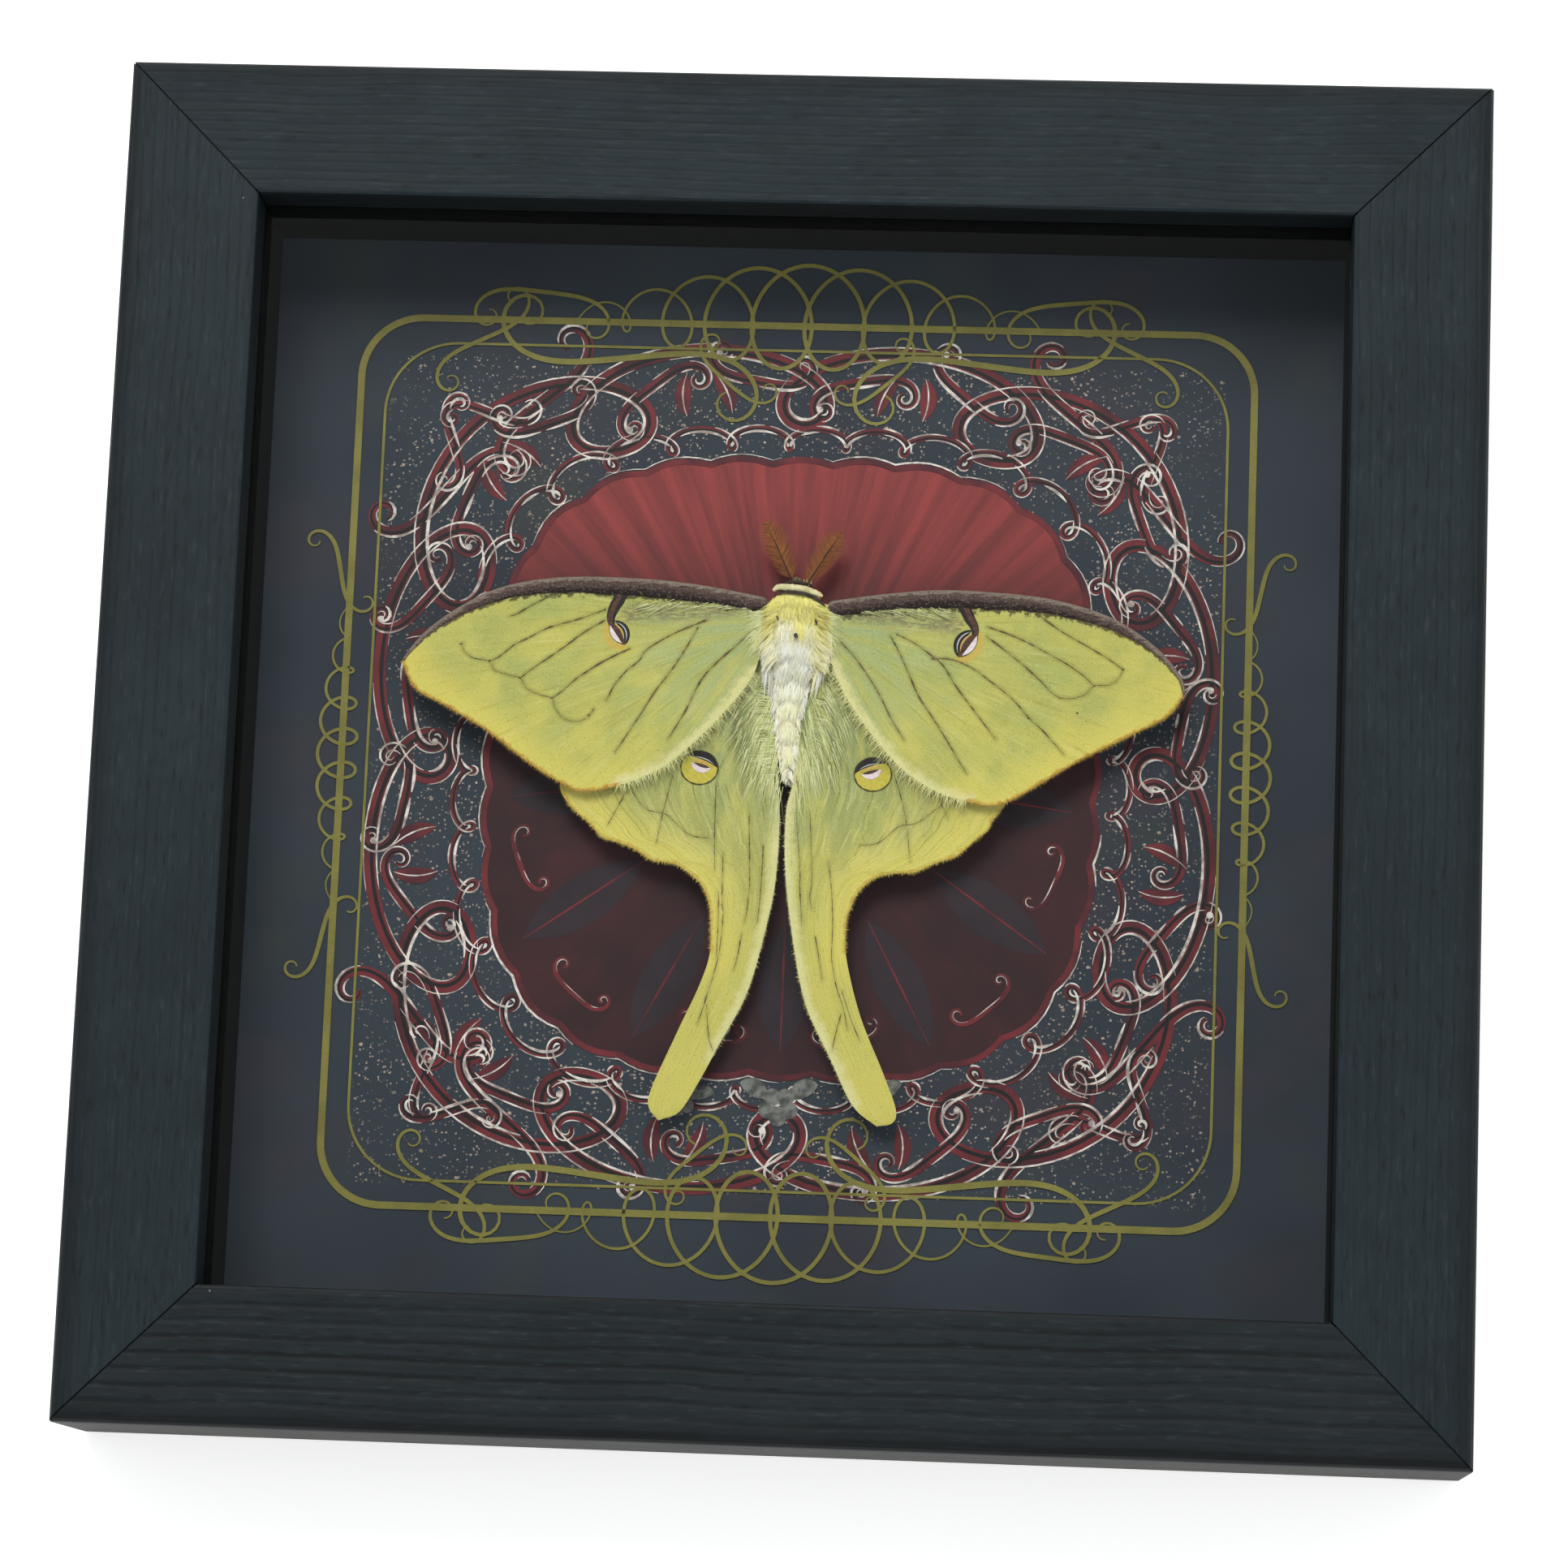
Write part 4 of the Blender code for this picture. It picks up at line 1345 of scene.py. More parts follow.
    def flowers(self) -> None:
        """Prints small grey flowers, with two leaves each, on the lower part of the ring."""
        petal, silver, dark = (self.inlays[word] for word in ("petal", "silver", "black"))
        for angle, size in ((-90, 0.8), (-74, 0.62), (-106, 0.62)):
            turn = math.radians(angle)
            centre = self.round(turn, -1.0)[0]
            for side in (1, -1):
                ahead = heading(turn + side * 2.1)
                base, tip = centre + ahead * 2.4 * size, centre + ahead * 7.4 * size
                petal.leaf(base, tip, 3.0 * size, 0.5 * side)
                dark.swell(bow(base, tip, 0.5 * side, 9), 0.2)
            for number in range(5):
                ahead = heading(turn + 2 * math.pi * number / 5)
                petal.leaf(centre + ahead * 0.3, centre + ahead * 3.3 * size, 2.9 * size)
                dark.swell(np.linspace(centre + ahead * 0.5, centre + ahead * 2.3 * size, 5), 0.2)
                silver.swell(bow(centre, centre + ahead * 1.5 * size, 0.4, 7), 0.2)

    def border(self) -> None:
        """Prints the gold border, a broad line and a fine one, and the scrolls over it."""
        gold = self.inlays["gold"]
        for quarter in range(4):
            turn = quarter * math.pi / 2
            spin = np.array(((math.cos(turn), math.sin(turn)), (-math.sin(turn), math.cos(turn))))
            lines = []
            broad, fine = (self.border_half, self.notch, 0.95), (self.border_half - 3.4, 9.5, 0.35)
            for half, notch, width in (broad, fine):
                hollow = bow((half, half - notch), (half - notch, half), -notch * 0.29, 15)
                lines.append((np.vstack((hollow, (notch - half, half))), width, 1.0))
            lines += [(path, width, 0.3) for path, width in self.flourishes(quarter % 2 == 0)]
            for path, width, ends in lines:
                placed = path @ spin + np.array(self.centre)
                if ends == 1.0:
                    gold.stroke(placed, width)
                else:
                    gold.swell(placed, width, ends)

    def flourishes(self, is_long: bool) -> list[tuple[np.ndarray, float]]:
        """The pen scrolls over the middle of one side, drawn with that side on top.

        Args:
            is_long: Whether it is the frame's top or bottom, which has more of them.

        Returns:
            Each line with its width.
        """
        half = self.border_half
        if not is_long:
            found = [(self.coil((0.0, half + 0.6), 40.0, 9, 2.6), 0.45)]
            rows = [((25.0, half + 1.5), 0.2, 22.0, 0.9, False, 0.6)]
        else:
            found = [(self.coil((0.0, half + 1.2), 62.0, 9, 7.2), 0.55)]
            rows = [
                ((25.0, half - 5.0), -0.12, 64.0, 1.05, False, 0.85),
                ((36.0, half + 4.0), 0.10, 34.0, -0.95, True, 0.6),
                ((44.0, half - 3.0), -0.45, 30.0, -1.0, False, 0.6),
                ((11.0, half - 7.5), 0.7, 24.0, 1.0, True, 0.5),
            ]
        for side in (1, -1):
            for (x, y), angle, length, turns, same_way, width in rows:
                facing = angle if side > 0 else math.pi - angle
                path = self.scroll((side * x, y), facing, length, side * turns, same_way=same_way)
                found.append((path, width))
        return found

    def build(self) -> None:
        """Prints everything."""
        self.medallion()
        self.ring()
        self.corners()
        self.flowers()
        self.border()
        for inlay in self.inlays.values():
            inlay.build()


# The moth


def wing_height(x: float, y: float, root_height: float) -> float:
    """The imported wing's own height at a place in plan.

    Args:
        x: The place's X, in millimetres.
        y: The place's Y.
        root_height: The height of the wing's root.

    Returns:
        The height.
    """
    out = min(1.0, abs(x) / WING_SPAN)
    back = max(0.0, (TAIL_START - y) / TAIL_LENGTH)
    return root_height + WING_CROWN * math.sin(math.pi * out) - WING_DROOP * out**2 - TAIL_DROP * back


@dataclass
class WingFinishes:
    """The materials of a pair of wings."""

    scales: Material
    vein: Material
    costa: Material
    fringe: Material
    down: Material
    inks: dict[str, Material]


@dataclass
class Wing:
    """One wing: a thin cambered membrane with veins and a fringe. Its kinds add the edges and the eyespot."""

    side: Side
    finishes: WingFinishes
    long_edge: Points
    short_edge: Points
    veins: Sequence[Points]
    faint: Points
    spot: Pair
    knots: Points = ()
    spot_scale: float = 1.0
    stalk: Points = ()
    thickness: float = 0.14
    cell: float = 0.34
    ripple: float = 0.12

    slices: ClassVar[Axis]
    root_height: ClassVar[float]
    hinge: ClassVar[Pair]
    inside: ClassVar[Pair]
    down_lengths: ClassVar[Pair]
    vein_share: ClassVar[float] = 1.0

    @property
    def name(self) -> str:
        """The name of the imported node."""
        return f"{type(self).__name__.lower()}_{self.side.word}"

    def outward(self, place: Pair) -> np.ndarray:
        """A place that is given with X counted outward from the body."""
        return np.array(place) * (self.side.value, 1)

    def height(self, x: float, y: float) -> float:
        """The height of the membrane's middle, with its gentle waves.

        Args:
            x: The place's X, in millimetres.
            y: The place's Y.

        Returns:
            The height.
        """
        wave = cloud(x * 0.16, y * 0.16, self.root_height)
        wave += 0.35 * cloud(x * 0.55, y * 0.55, self.root_height + 3)
        return wing_height(x, y, self.root_height) + self.ripple * wave

    def top(self, x: float, y: float) -> float:
        """The height of the membrane's upper face."""
        return self.height(x, y) + self.thickness / 2

    def membrane(self) -> None:
        """Builds the membrane from slices between its two edges, and stores what its finish reads."""
        along = self.slices.value
        edge = smooth_path(self.long_edge)
        columns = round(run_lengths(edge)[-1] / self.cell)
        edge = even(edge, columns + 1)
        other = smooth_path(self.short_edge)
        order = np.argsort(other[:, along])
        across = np.interp(edge[:, along], other[order, along], other[order, 1 - along])
        facing = edge.copy()
        facing[:, 1 - along] = across
        widest = np.abs(edge - facing).max()

        def place(u: float, v: float) -> Place:
            """Where one corner of the upper face lies."""
            number = round(u * columns)
            x, y = edge[number] * (1 - v) + facing[number] * v
            return x, y, self.top(x, y)

        shape = bmesh.new()
        map_grid(shape, columns, round(widest / self.cell), place)
        bmesh.ops.remove_doubles(shape, verts=shape.verts, dist=WELD * 10)
        bmesh.ops.dissolve_degenerate(shape, edges=shape.edges, dist=WELD * 10)
        face_up(shape)
        close_sheet(shape, self.thickness)
        obj = add_piece(
            self.name + "_membrane", shape, self.finishes.scales, [self.name], True
        )
        places = plan_of(obj.data)
        low = np.interp(places[:, along], *self.sorted_edge(edge, along))
        high = np.interp(places[:, along], *self.sorted_edge(facing, along))
        share = (places[:, 1 - along] - low) / (high - low + 1e-6)
        lines = [smooth_path(line, 6) for line in (*self.veins, self.faint)]
        away = places - self.outward(self.hinge)
        turn = np.arctan2(away[:, 1], away[:, 0] * self.side.value)
        marks = {
            "ray": self.ray(turn, share),
            "vein": np.min([gap_to(places, line) for line in lines], axis=0),
            "margin": gap_to(places, smooth_path(self.margin, 6)),
            "inner": gap_to(places, smooth_path(self.inner, 6)),
            "root": np.linalg.norm(away, axis=1),
            **self.shadings(places),
        }
        for word, values in marks.items():
            mark(obj.data, word, values)

    def sorted_edge(self, edge: np.ndarray, along: int) -> tuple[np.ndarray, np.ndarray]:
        """An edge's two coordinates, in the order of the first."""
        order = np.argsort(edge[:, along])
        return edge[order, along], edge[order, 1 - along]

    def shadings(self, places: np.ndarray) -> dict[str, np.ndarray]:
        """How far each place is from the dark places that only forewings have: far."""
        return dict.fromkeys(("glow", "smoke", "costa"), np.full(len(places), FAR))

    def inlay(
        self, word: str, ink: Material, lift: float, thickness: float, slot: str = "wing_scales"
    ) -> Inlay:
        """Starts a piece of thin shapes that lie on the membrane."""
        return Inlay(f"{self.name}_{word}", ink, slot, self.top, lift, thickness)

    def build_veins(self) -> None:
        """Builds the veins as fine ribs of uneven width, and the faint cross line with its knots."""
        ribs = self.inlay("veins", self.finishes.vein, 0.035, 0.05)
        for number, line in enumerate(self.veins):
            count = max(24, round(run_lengths(smooth_path(line))[-1] / 0.25))
            path = even(smooth_path(line), count)
            share = np.linspace(0, 1, count)
            uneven = [
                cloud(x * 0.8, y * 0.8, number) + 0.7 * cloud(x * 2, y * 2, number)
                for x, y in path
            ]
            widths = (0.16 - 0.05 * share) * (1 + 2.1 * np.array(uneven)) * self.vein_share
            ribs.stroke(path, np.clip(widths, 0.02, 0.28) * np.minimum(1, (1 - share) * 8 + 0.2))
        path = even(smooth_path(self.faint), 90)
        uneven = [cloud(x * 1.1, y * 1.1, 7.0) for x, y in path]
        ribs.stroke(path, np.clip(0.04 + 0.12 * np.array(uneven), 0.012, 0.15))
        for number, knot in enumerate(self.knots):
            ribs.disc(knot, 0.22 - 0.04 * (number % 3), 0.12, 9)
        ribs.build()

    def build_fringes(self) -> None:
        """Builds the short ochre hairs on the outer margin and the pale ones on the inner margin."""
        self.fringe("fringe", self.margin, self.finishes.fringe, 0.075, (0.12, 0.36), 0.3)
        self.fringe("down", self.inner, self.finishes.down, 0.06, self.down_lengths, 0.8)

    def fringe(
        self,
        word: str,
        points: Points,
        material: Material,
        pitch: float,
        lengths: Pair,
        spread: float,
    ) -> None:
        """Grows one row of short hairs off an edge.

        Args:
            word: The last word of the piece's name.
            points: The edge.
            material: The hairs' finish.
            pitch: How far apart they stand.
            lengths: Their shortest and longest length.
            spread: How much their directions differ.
        """
        path = smooth_path(points)
        path = even(path, round(run_lengths(path)[-1] / pitch))
        rng = np.random.default_rng(len(path))
        middle = len(path) // 2
        ahead = path[middle + 1] - path[middle]
        inward = self.outward(self.inside) - path[middle]
        outward = -normals_of(path) * math.copysign(1, ahead[0] * inward[1] - ahead[1] * inward[0])
        roots = path - outward * 0.25
        length = rng.uniform(*lengths, len(path))[:, None]
        tips = path + (outward + rng.normal(0, spread, path.shape) + (0, -spread)) * length
        heights = np.array([self.height(x, y) for x, y in roots])
        drop = rng.uniform(-0.08, 0.06, len(path))
        hairs = Hairs(f"{self.name}_{word}", material, "wing_scales", cuts=1)
        hairs.grow(
            np.column_stack((roots, heights + 0.05)),
            np.column_stack((tips, heights + drop)),
            0.03,
            0.05,
            rng.uniform(0, 1, len(path)),
            rng.uniform(0, 0.3, len(path)),
        )
        hairs.build()

    def build(self) -> None:
        """Builds the whole wing."""
        self.membrane()
        self.build_veins()
        self.build_fringes()
        self.build_spot()

    def local(self, points: Points) -> np.ndarray:
        """Points drawn round the left wing's eyespot, brought to this wing."""
        mirrored = np.array(points, float) * (-self.side.value, 1) * self.spot_scale
        return mirrored + np.array(self.spot)

    def patch(
        self, word: str, start: Sequence[float], end: Sequence[float], low: float, high: float, lift: float
    ) -> None:
        """Lays one crescent of an eyespot between two arcs.

        Args:
            word: The piece's last words, of which the first is its ink.
            start: Where both arcs start, from the eyespot's middle.
            end: Where both arcs end.
            low: How far the first arc rises.
            high: How far the second arc rises.
            lift: The height of its face over the membrane.
        """
        first, last = self.local([start, end])
        sign = -self.side.value * self.spot_scale
        ink = self.finishes.inks[word.split("_")[0]]
        inlay = self.inlay("spot_" + word, ink, lift, 0.02)
        inlay.between(bow(first, last, low * sign, 25), bow(first, last, high * sign, 25), 3)
        inlay.build()


class Forewing(Wing):
    """A forewing, with its dark leading rib and a stalked eyespot."""

    slices = Axis.X
    root_height = FOREWING_ROOT
    hinge = (3.0, 19.0)
    inside = (9.0, 8.0)
    down_lengths = (0.3, 0.95)
    ray_width = 26
    costa_cuts = 150
    costa_shares = (0.0, 0.06, 0.25, 0.4, 0.55, 0.7, 0.8, 0.9, 1.0)
    costa_widths = (1.95, 2.25, 2.45, 2.4, 2.1, 1.7, 1.2, 0.7, 0.25)

    @property
    def margin(self) -> Points:
        """The outer margin, from the tip backwards."""
        return self.long_edge[:8]

    @property
    def inner(self) -> Points:
        """The margin towards the body."""
        return self.long_edge[7:-1]

    def ray(self, turn: np.ndarray, _share: np.ndarray) -> np.ndarray:
        """Which streak of scales crosses each place: here they fan out from the root."""
        return turn * self.ray_width

    def shadings(self, places: np.ndarray) -> dict[str, np.ndarray]:
        """How far each place is from the warm patch and the grey streak, and how far behind the rib.

        Args:
            places: The places in plan.

        Returns:
            The distances, by the name under which the mesh stores them.
        """
        start, end = self.local([(-1.3, 1.0), (0.8, -1.8)])
        x, y = self.spot
        streak = np.array(((x * 0.93, y + 2.6), (x * 0.66, y + 3.2), (x * 0.36, y + 3.9)))
        path = even(smooth_path(self.short_edge), self.costa_cuts)
        nearest = np.array([np.hypot(*(path - place).T).argmin() for place in places])
        widths = np.interp(nearest / (self.costa_cuts - 1), self.costa_shares, self.costa_widths)
        return {
            "glow": gap_to(places, bow(start, end, self.side.value * 1.15)),
            "smoke": gap_to(places, streak),
            "costa": gap_to(places, path) / widths - 1,
        }

    def build(self) -> None:
        """Builds the whole wing, with its rib."""
        super().build()
        self.build_costa()

    def build_costa(self) -> None:
        """Builds the rib along the leading edge: a low round bar that narrows to the tip."""
        count = self.costa_cuts
        path = even(smooth_path(self.short_edge), count)
        inward = normals_of(path) * -self.side.value
        share = np.linspace(0, 1, count)
        width = np.interp(share, self.costa_shares, self.costa_widths)
        width *= 1 + 0.10 * np.array([cloud(value * 45, 0, self.root_height) for value in share])
        height = 0.18 * width + 0.10
        ends = np.minimum(1.0, np.minimum(share, 1 - share) * 60) ** 0.5
        middle = path + inward * (width / 2 - 0.1)[:, None]

        def place(u: float, v: float) -> Place:
            """Where one corner of the rib lies."""
            number = round(u * (count - 1))
            turn = 2 * math.pi * v
            wide = math.cos(turn) * width[number] / 2 * ends[number]
            x, y = middle[number] + inward[number] * wide
            z = self.height(*middle[number]) + math.sin(turn) * height[number] * ends[number]
            return x, y, z

        shape = bmesh.new()
        map_grid(shape, count - 1, 16, place)
        close_tube(shape)
        obj = add_piece(self.name + "_costa", shape, self.finishes.costa)
        mark(obj.data, "behind", gap_to(plan_of(obj.data), path))

    def build_spot(self) -> None:
        """Builds the eyespot: a slanted lens with dark and pale arcs, on a stalk from the leading rib."""
        stalk = self.inlay("stalk", self.finishes.inks["black"], 0.10, 0.09, "leg_brown")
        path = even(smooth_path(self.local(self.stalk)), 30)
        share = np.linspace(0, 1, 30)
        widths = np.interp(share, (0.0, 0.2, 0.5, 0.75, 1.0), (1.9, 1.55, 1.4, 1.1, 0.8))
        stalk.stroke(path, widths)
        stalk.build()
        core = self.inlay("stalk_core", self.finishes.inks["brown"], 0.12, 0.09, "leg_brown")
        core.stroke(path, widths * (0.3 + 0.4 * share), 0.1 * self.side.value)
        core.build()
        for word, start, end, low, high, lift in (
            ("brown_rim", (-1.12, 1.2), (1.0, -1.6), -0.82, 0.9, 0.05),
            ("black_rim", (-0.5, 1.6), (1.08, -1.55), 0.2, 1.24, 0.07),
            ("blue_arc", (-0.35, 1.38), (1.02, -1.2), 0.62, 0.78, 0.09),
            ("gold_arc", (-0.58, 1.15), (0.8, -0.95), 0.28, 0.52, 0.095),
            ("brown_lens", (-0.78, 0.98), (0.5, -1.1), -0.05, 0.56, 0.09),
            ("white_arc", (-1.05, 0.98), (0.6, -1.42), -0.62, 0.0, 0.10),
        ):
            self.patch(word, start, end, low, high, lift)


class Hindwing(Wing):
    """A hindwing with its tail, a round eyespot and long folds down the tail."""

    slices = Axis.Y
    root_height = HINDWING_ROOT
    hinge = (3.0, 12.0)
    inside = (9.0, -4.0)
    down_lengths = (0.06, 0.22)
    vein_share = 0.5
    ray_width = 24
    spot_radii = (2.42, 2.2)

    @property
    def margin(self) -> Points:
        """The outer margin, with its scallops, down to the tail."""
        return self.long_edge[4:-5]

    @property
    def inner(self) -> Points:
        """The margin towards the body."""
        return self.short_edge[-11:-3]

    def ray(self, _turn: np.ndarray, share: np.ndarray) -> np.ndarray:
        """Which streak of scales crosses each place: here they run beside each other to the tail."""
        return share * self.ray_width

    def build_spot(self) -> None:
        """Builds the round eyespot: a ringed yellow disc under a black lid."""
        inks = self.finishes.inks
        disc = self.inlay("spot_disc", inks["yellow"], 0.04, 0.02)
        disc.disc(self.spot, *self.spot_radii, 40)
        disc.build()
        ring = self.inlay("spot_ring", inks["olive"], 0.06, 0.03)
        turn = np.linspace(0, 2 * math.pi, 73)
        wide, high = np.array(self.spot_radii) + 0.01
        circle = np.stack((self.spot[0] + wide * np.cos(turn), self.spot[1] + high * np.sin(turn)), axis=1)
        ring.stroke(circle, 0.19 + 0.07 * np.sin(11 * turn) * np.sin(4 * turn))
        ring.build()
        for word, start, end, low, high, lift in (
            ("black_lid", (-1.78, 1.55), (2.42, 0.0), 0.32, 1.42, 0.08),
            ("blue_arc", (-1.0, 1.42), (1.9, 0.46), 0.26, 0.39, 0.09),
            ("gold_arc", (-0.98, 0.97), (1.7, 0.2), 0.05, 0.42, 0.095),
            ("white_bowl", (-1.08, 0.68), (1.5, -0.05), -0.95, 0.05, 0.09),
            ("brown_lens", (-0.75, 0.68), (1.4, 0.04), -0.30, 0.14, 0.105),
        ):
            self.patch(word, start, end, low, high, lift)
        if self.side is Side.RIGHT:
            blob = self.inlay("spot_blob", inks["black"], 0.1, 0.04)
            for x, y, wide, high in ((1.25, 2.35, 0.42, 0.34), (1.5, 1.85, 0.3, 0.26)):
                blob.disc((self.spot[0] + x, self.spot[1] + y), wide, high, 12)
            blob.build()


@dataclass(frozen=True)
class Tuft:
    """Locks that start along one line and end along another, drawn with X counted outward from the body."""

    locks: int
    each: int
    roots: tuple[Pair, Pair]
    tips: tuple[Pair, Pair]
    scatter: float = 0.35
    lemon: float = 0.0


@dataclass
class Body:
    """Head, thorax and abdomen: a lumpy skin, eyes, a collar and fur in locks."""

    fur_depth: float = 0.4
    seed: int = 11
    skin_columns: int = 150
    skin_rows: int = 64
    undercoat: int = 4600
    middle: float = 0.3
    eye_radius: float = 0.93
    eye_place: Place = (1.35, 23.9, 7.5)
    head_hairs: int = 90
    bar_columns: int = 49
    bar_rows: int = 12
    tufts: tuple[Tuft, ...] = (
        Tuft(44, 12, ((0.0, 22.3), (2.8, 21.9)), ((0.2, 20.6), (4.0, 20.9)), 0.2, 0.2),
        Tuft(44, 12, ((0.2, 21.5), (2.9, 20.6)), ((0.3, 18.9), (3.4, 18.2)), 0.5, 0.1),
        Tuft(44, 12, ((2.2, 22.2), (3.2, 18.4)), ((4.5, 21.2), (4.8, 16.4)), 0.3, 0.1),
        Tuft(44, 12, ((0.2, 19.0), (2.8, 18.2)), ((0.4, 15.8), (3.4, 15.4)), 0.5),
        Tuft(40, 12, ((0.2, 16.2), (2.8, 15.4)), ((0.2, 13.4), (2.6, 12.8)), 0.5),
        Tuft(54, 12, ((2.9, 18.4), (3.0, 13.8)), ((4.8, 16.0), (4.2, 11.6)), 0.35),
        Tuft(34, 9, ((3.9, 18.4), (3.0, 13.4)), ((3.5, 13.0), (2.5, 8.6)), 0.25, -0.2),
        Tuft(40, 11, ((0.0, 13.2), (2.0, 12.6)), ((0.1, 10.9), (2.2, 10.4)), 0.35, 0.05),
        Tuft(34, 10, ((0.0, 10.8), (1.6, 10.4)), ((0.0, 8.4), (1.7, 8.0)), 0.3, 0.05),
        Tuft(28, 10, ((0.0, 8.2), (1.2, 7.8)), ((0.0, 5.9), (1.3, 5.5)), 0.3, 0.1),
        Tuft(24, 9, ((0.0, 5.4), (0.9, 5.0)), ((0.0, 3.2), (0.9, 2.8)), 0.25, 0.1),
        Tuft(20, 9, ((0.0, 2.6), (0.6, 2.2)), ((0.0, 0.2), (0.5, -0.4)), 0.2, 0.1),
        Tuft(60, 9, ((2.0, 11.6), (0.3, -1.2)), ((2.5, 9.4), (0.7, -2.6)), 0.2, -0.1),
        Tuft(40, 10, ((4.2, 19.0), (3.6, 14.2)), ((4.6, 14.6), (3.2, 8.8)), 0.3, -0.5),
    )

    # The folds of the thorax, along which painted shade darkens the skin and the fur.
    creases: tuple[Points, ...] = (
        ((-2.3, 18.4), (-2.4, 20.0), (-1.6, 21.2), (0.3, 21.5), (2.1, 21.0), (3.0, 19.9), (3.1, 18.4)),
        ((-2.6, 13.6), (-1.3, 13.9), (-0.4, 14.4)),
        ((2.6, 12.9), (3.5, 12.5), (4.6, 12.6)),
    )

    def half_width(self, y: float) -> float:
        """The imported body's half width at a place along it."""
        places, widths = zip(*BODY_PROFILE)
        return float(np.interp(y, places, widths))

    def centre(self, y: float) -> Pair:
        """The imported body's middle line, in X and Z, at a place along it."""
        share = max(0.0, (ABDOMEN_START - y) / (ABDOMEN_START - BODY_PROFILE[0][0]))
        return ABDOMEN_LEAN * math.sin(math.pi * share), BODY_AXIS_HEIGHT - ABDOMEN_DROP * share

    def skin_place(self, y: float, turn: float) -> Place:
        """A place on the skin, below the fur.

        Args:
            y: How far along the body it lies.
            turn: Its angle round the body.

        Returns:
            The place.
        """
        width = self.half_width(y)
        depth = min(self.fur_depth, width * 0.28)
        lump = cloud(math.cos(turn) * 1.4, y * 0.5, math.sin(turn) * 1.4)
        rings = 0.07 * math.sin(2 * math.pi * y / 1.75) if y < ABDOMEN_START - 1 else 0.0
        folds = sum(
            deep * math.exp(-(((y - place + 0.10 * (math.cos(turn) * width) ** 2) / 0.4) ** 2))
            for place, deep in ((19.0, 0.2), (13.6, 0.2))
        )
        reach = max(0.0, width - depth) + (0.24 * lump + rings - folds) * min(1.0, width / 1.2)
        x, z = self.centre(y)
        return x + reach * math.cos(turn), y, z + BODY_HEIGHT_RATIO * reach * math.sin(turn)

    def cover(self, x: float, y: float) -> float:
        """How high the coat lies at a place in plan, on the body or on the wings beside it.

        Args:
            x: The place's X, in millimetres.
            y: The place's Y.

        Returns:
            The height.
        """
        middle, axis = self.centre(y)
        inside = max(0.0, self.half_width(y) ** 2 - (x - middle) ** 2)
        wing = wing_height(x, y, FOREWING_ROOT if y > ABDOMEN_START else HINDWING_ROOT) + 0.15
        return max(axis + BODY_HEIGHT_RATIO * math.sqrt(inside) - self.fur_depth * 0.8, wing)

    def tone(self, x: np.ndarray, y: np.ndarray) -> np.ndarray:
        """How lemon the fur is: yellow on the front of the thorax and its right flank, near white behind.

        Args:
            x: The places' X.
            y: The places' Y.

        Returns:
            Shares from 0 to 1.
        """
        arch = np.exp(-np.clip((21.4 - y - 0.06 * x**2) / 2.2, 0, 9) ** 2)
        right = 0.6 * np.clip((x - 1.9) / 0.9, 0, 1) * np.clip((y - 11.5) / 2, 0, 1)
        left = 0.5 * np.clip((-x - 1.8) / 0.9, 0, 1) * np.clip((y - 14.8) / 2, 0, 1)
        middle = 0.45 * np.exp(-((x - 0.5) ** 2) / 1.8 - ((y - 18.6) / 1.3) ** 2)
        tail = 0.22 * np.clip((12.0 - y) / 4, 0, 1)
        patches = np.array([0.45 * cloud(a * 0.7, b * 0.7, 9.0) for a, b in zip(x, y)])
        return np.clip(0.12 + patches + 0.85 * arch + right + left + middle + tail, 0, 1)

    def crease(self, places: np.ndarray) -> np.ndarray:
        """How much painted shade each place takes in the folds between the lobes of the thorax, from 0 to 1.

        Args:
            places: The places in plan.

        Returns:
            The shares of painted shade.
        """
        depth = np.zeros(len(places))
        for line in self.creases:
            depth = np.maximum(depth, np.exp(-((gap_to(places, smooth_path(line, 6)) / 0.3) ** 2)))
        return depth

    def build(self) -> None:
        """Builds the whole body."""
        lemon, white = screen(252, 240, 136), screen(255, 254, 246)
        fur = HairTone("moth_fur_hair", white, lemon, screen(150, 128, 64)).make()
        under = HairTone("moth_skin_down", white, lemon, screen(58, 44, 32)).make()
        skin = bmesh.new()
        first, last = BODY_PROFILE[0][0] + 0.12, BODY_PROFILE[-1][0] - 0.12

        def place(u: float, v: float) -> Place:
            """Where one corner of the skin lies."""
            return self.skin_place(first + u * (last - first), 2 * math.pi * v)

        map_grid(skin, self.skin_columns, self.skin_rows, place)
        close_tube(skin)
        obj = add_piece("moth_skin", skin, under, ["moth_body"])
        places = plan_of(obj.data)
        head = np.clip((places[:, 1] - 22.4) / 0.4, 0, 0.95)
        mark(obj.data, "tone", self.tone(places[:, 0], places[:, 1]))
        # The head is dark brown, and painted shade darkens the folds of the thorax.
        mark(obj.data, "shade", np.maximum(head, 0.5 * self.crease(places)))
        blush = np.exp(-(((places[:, 0] + 0.3) / 0.5) ** 2) - ((places[:, 1] - 2.9) / 1.1) ** 2)
        mark(obj.data, "blush", blush)
        self.build_fur(fur)
        self.build_head(fur)

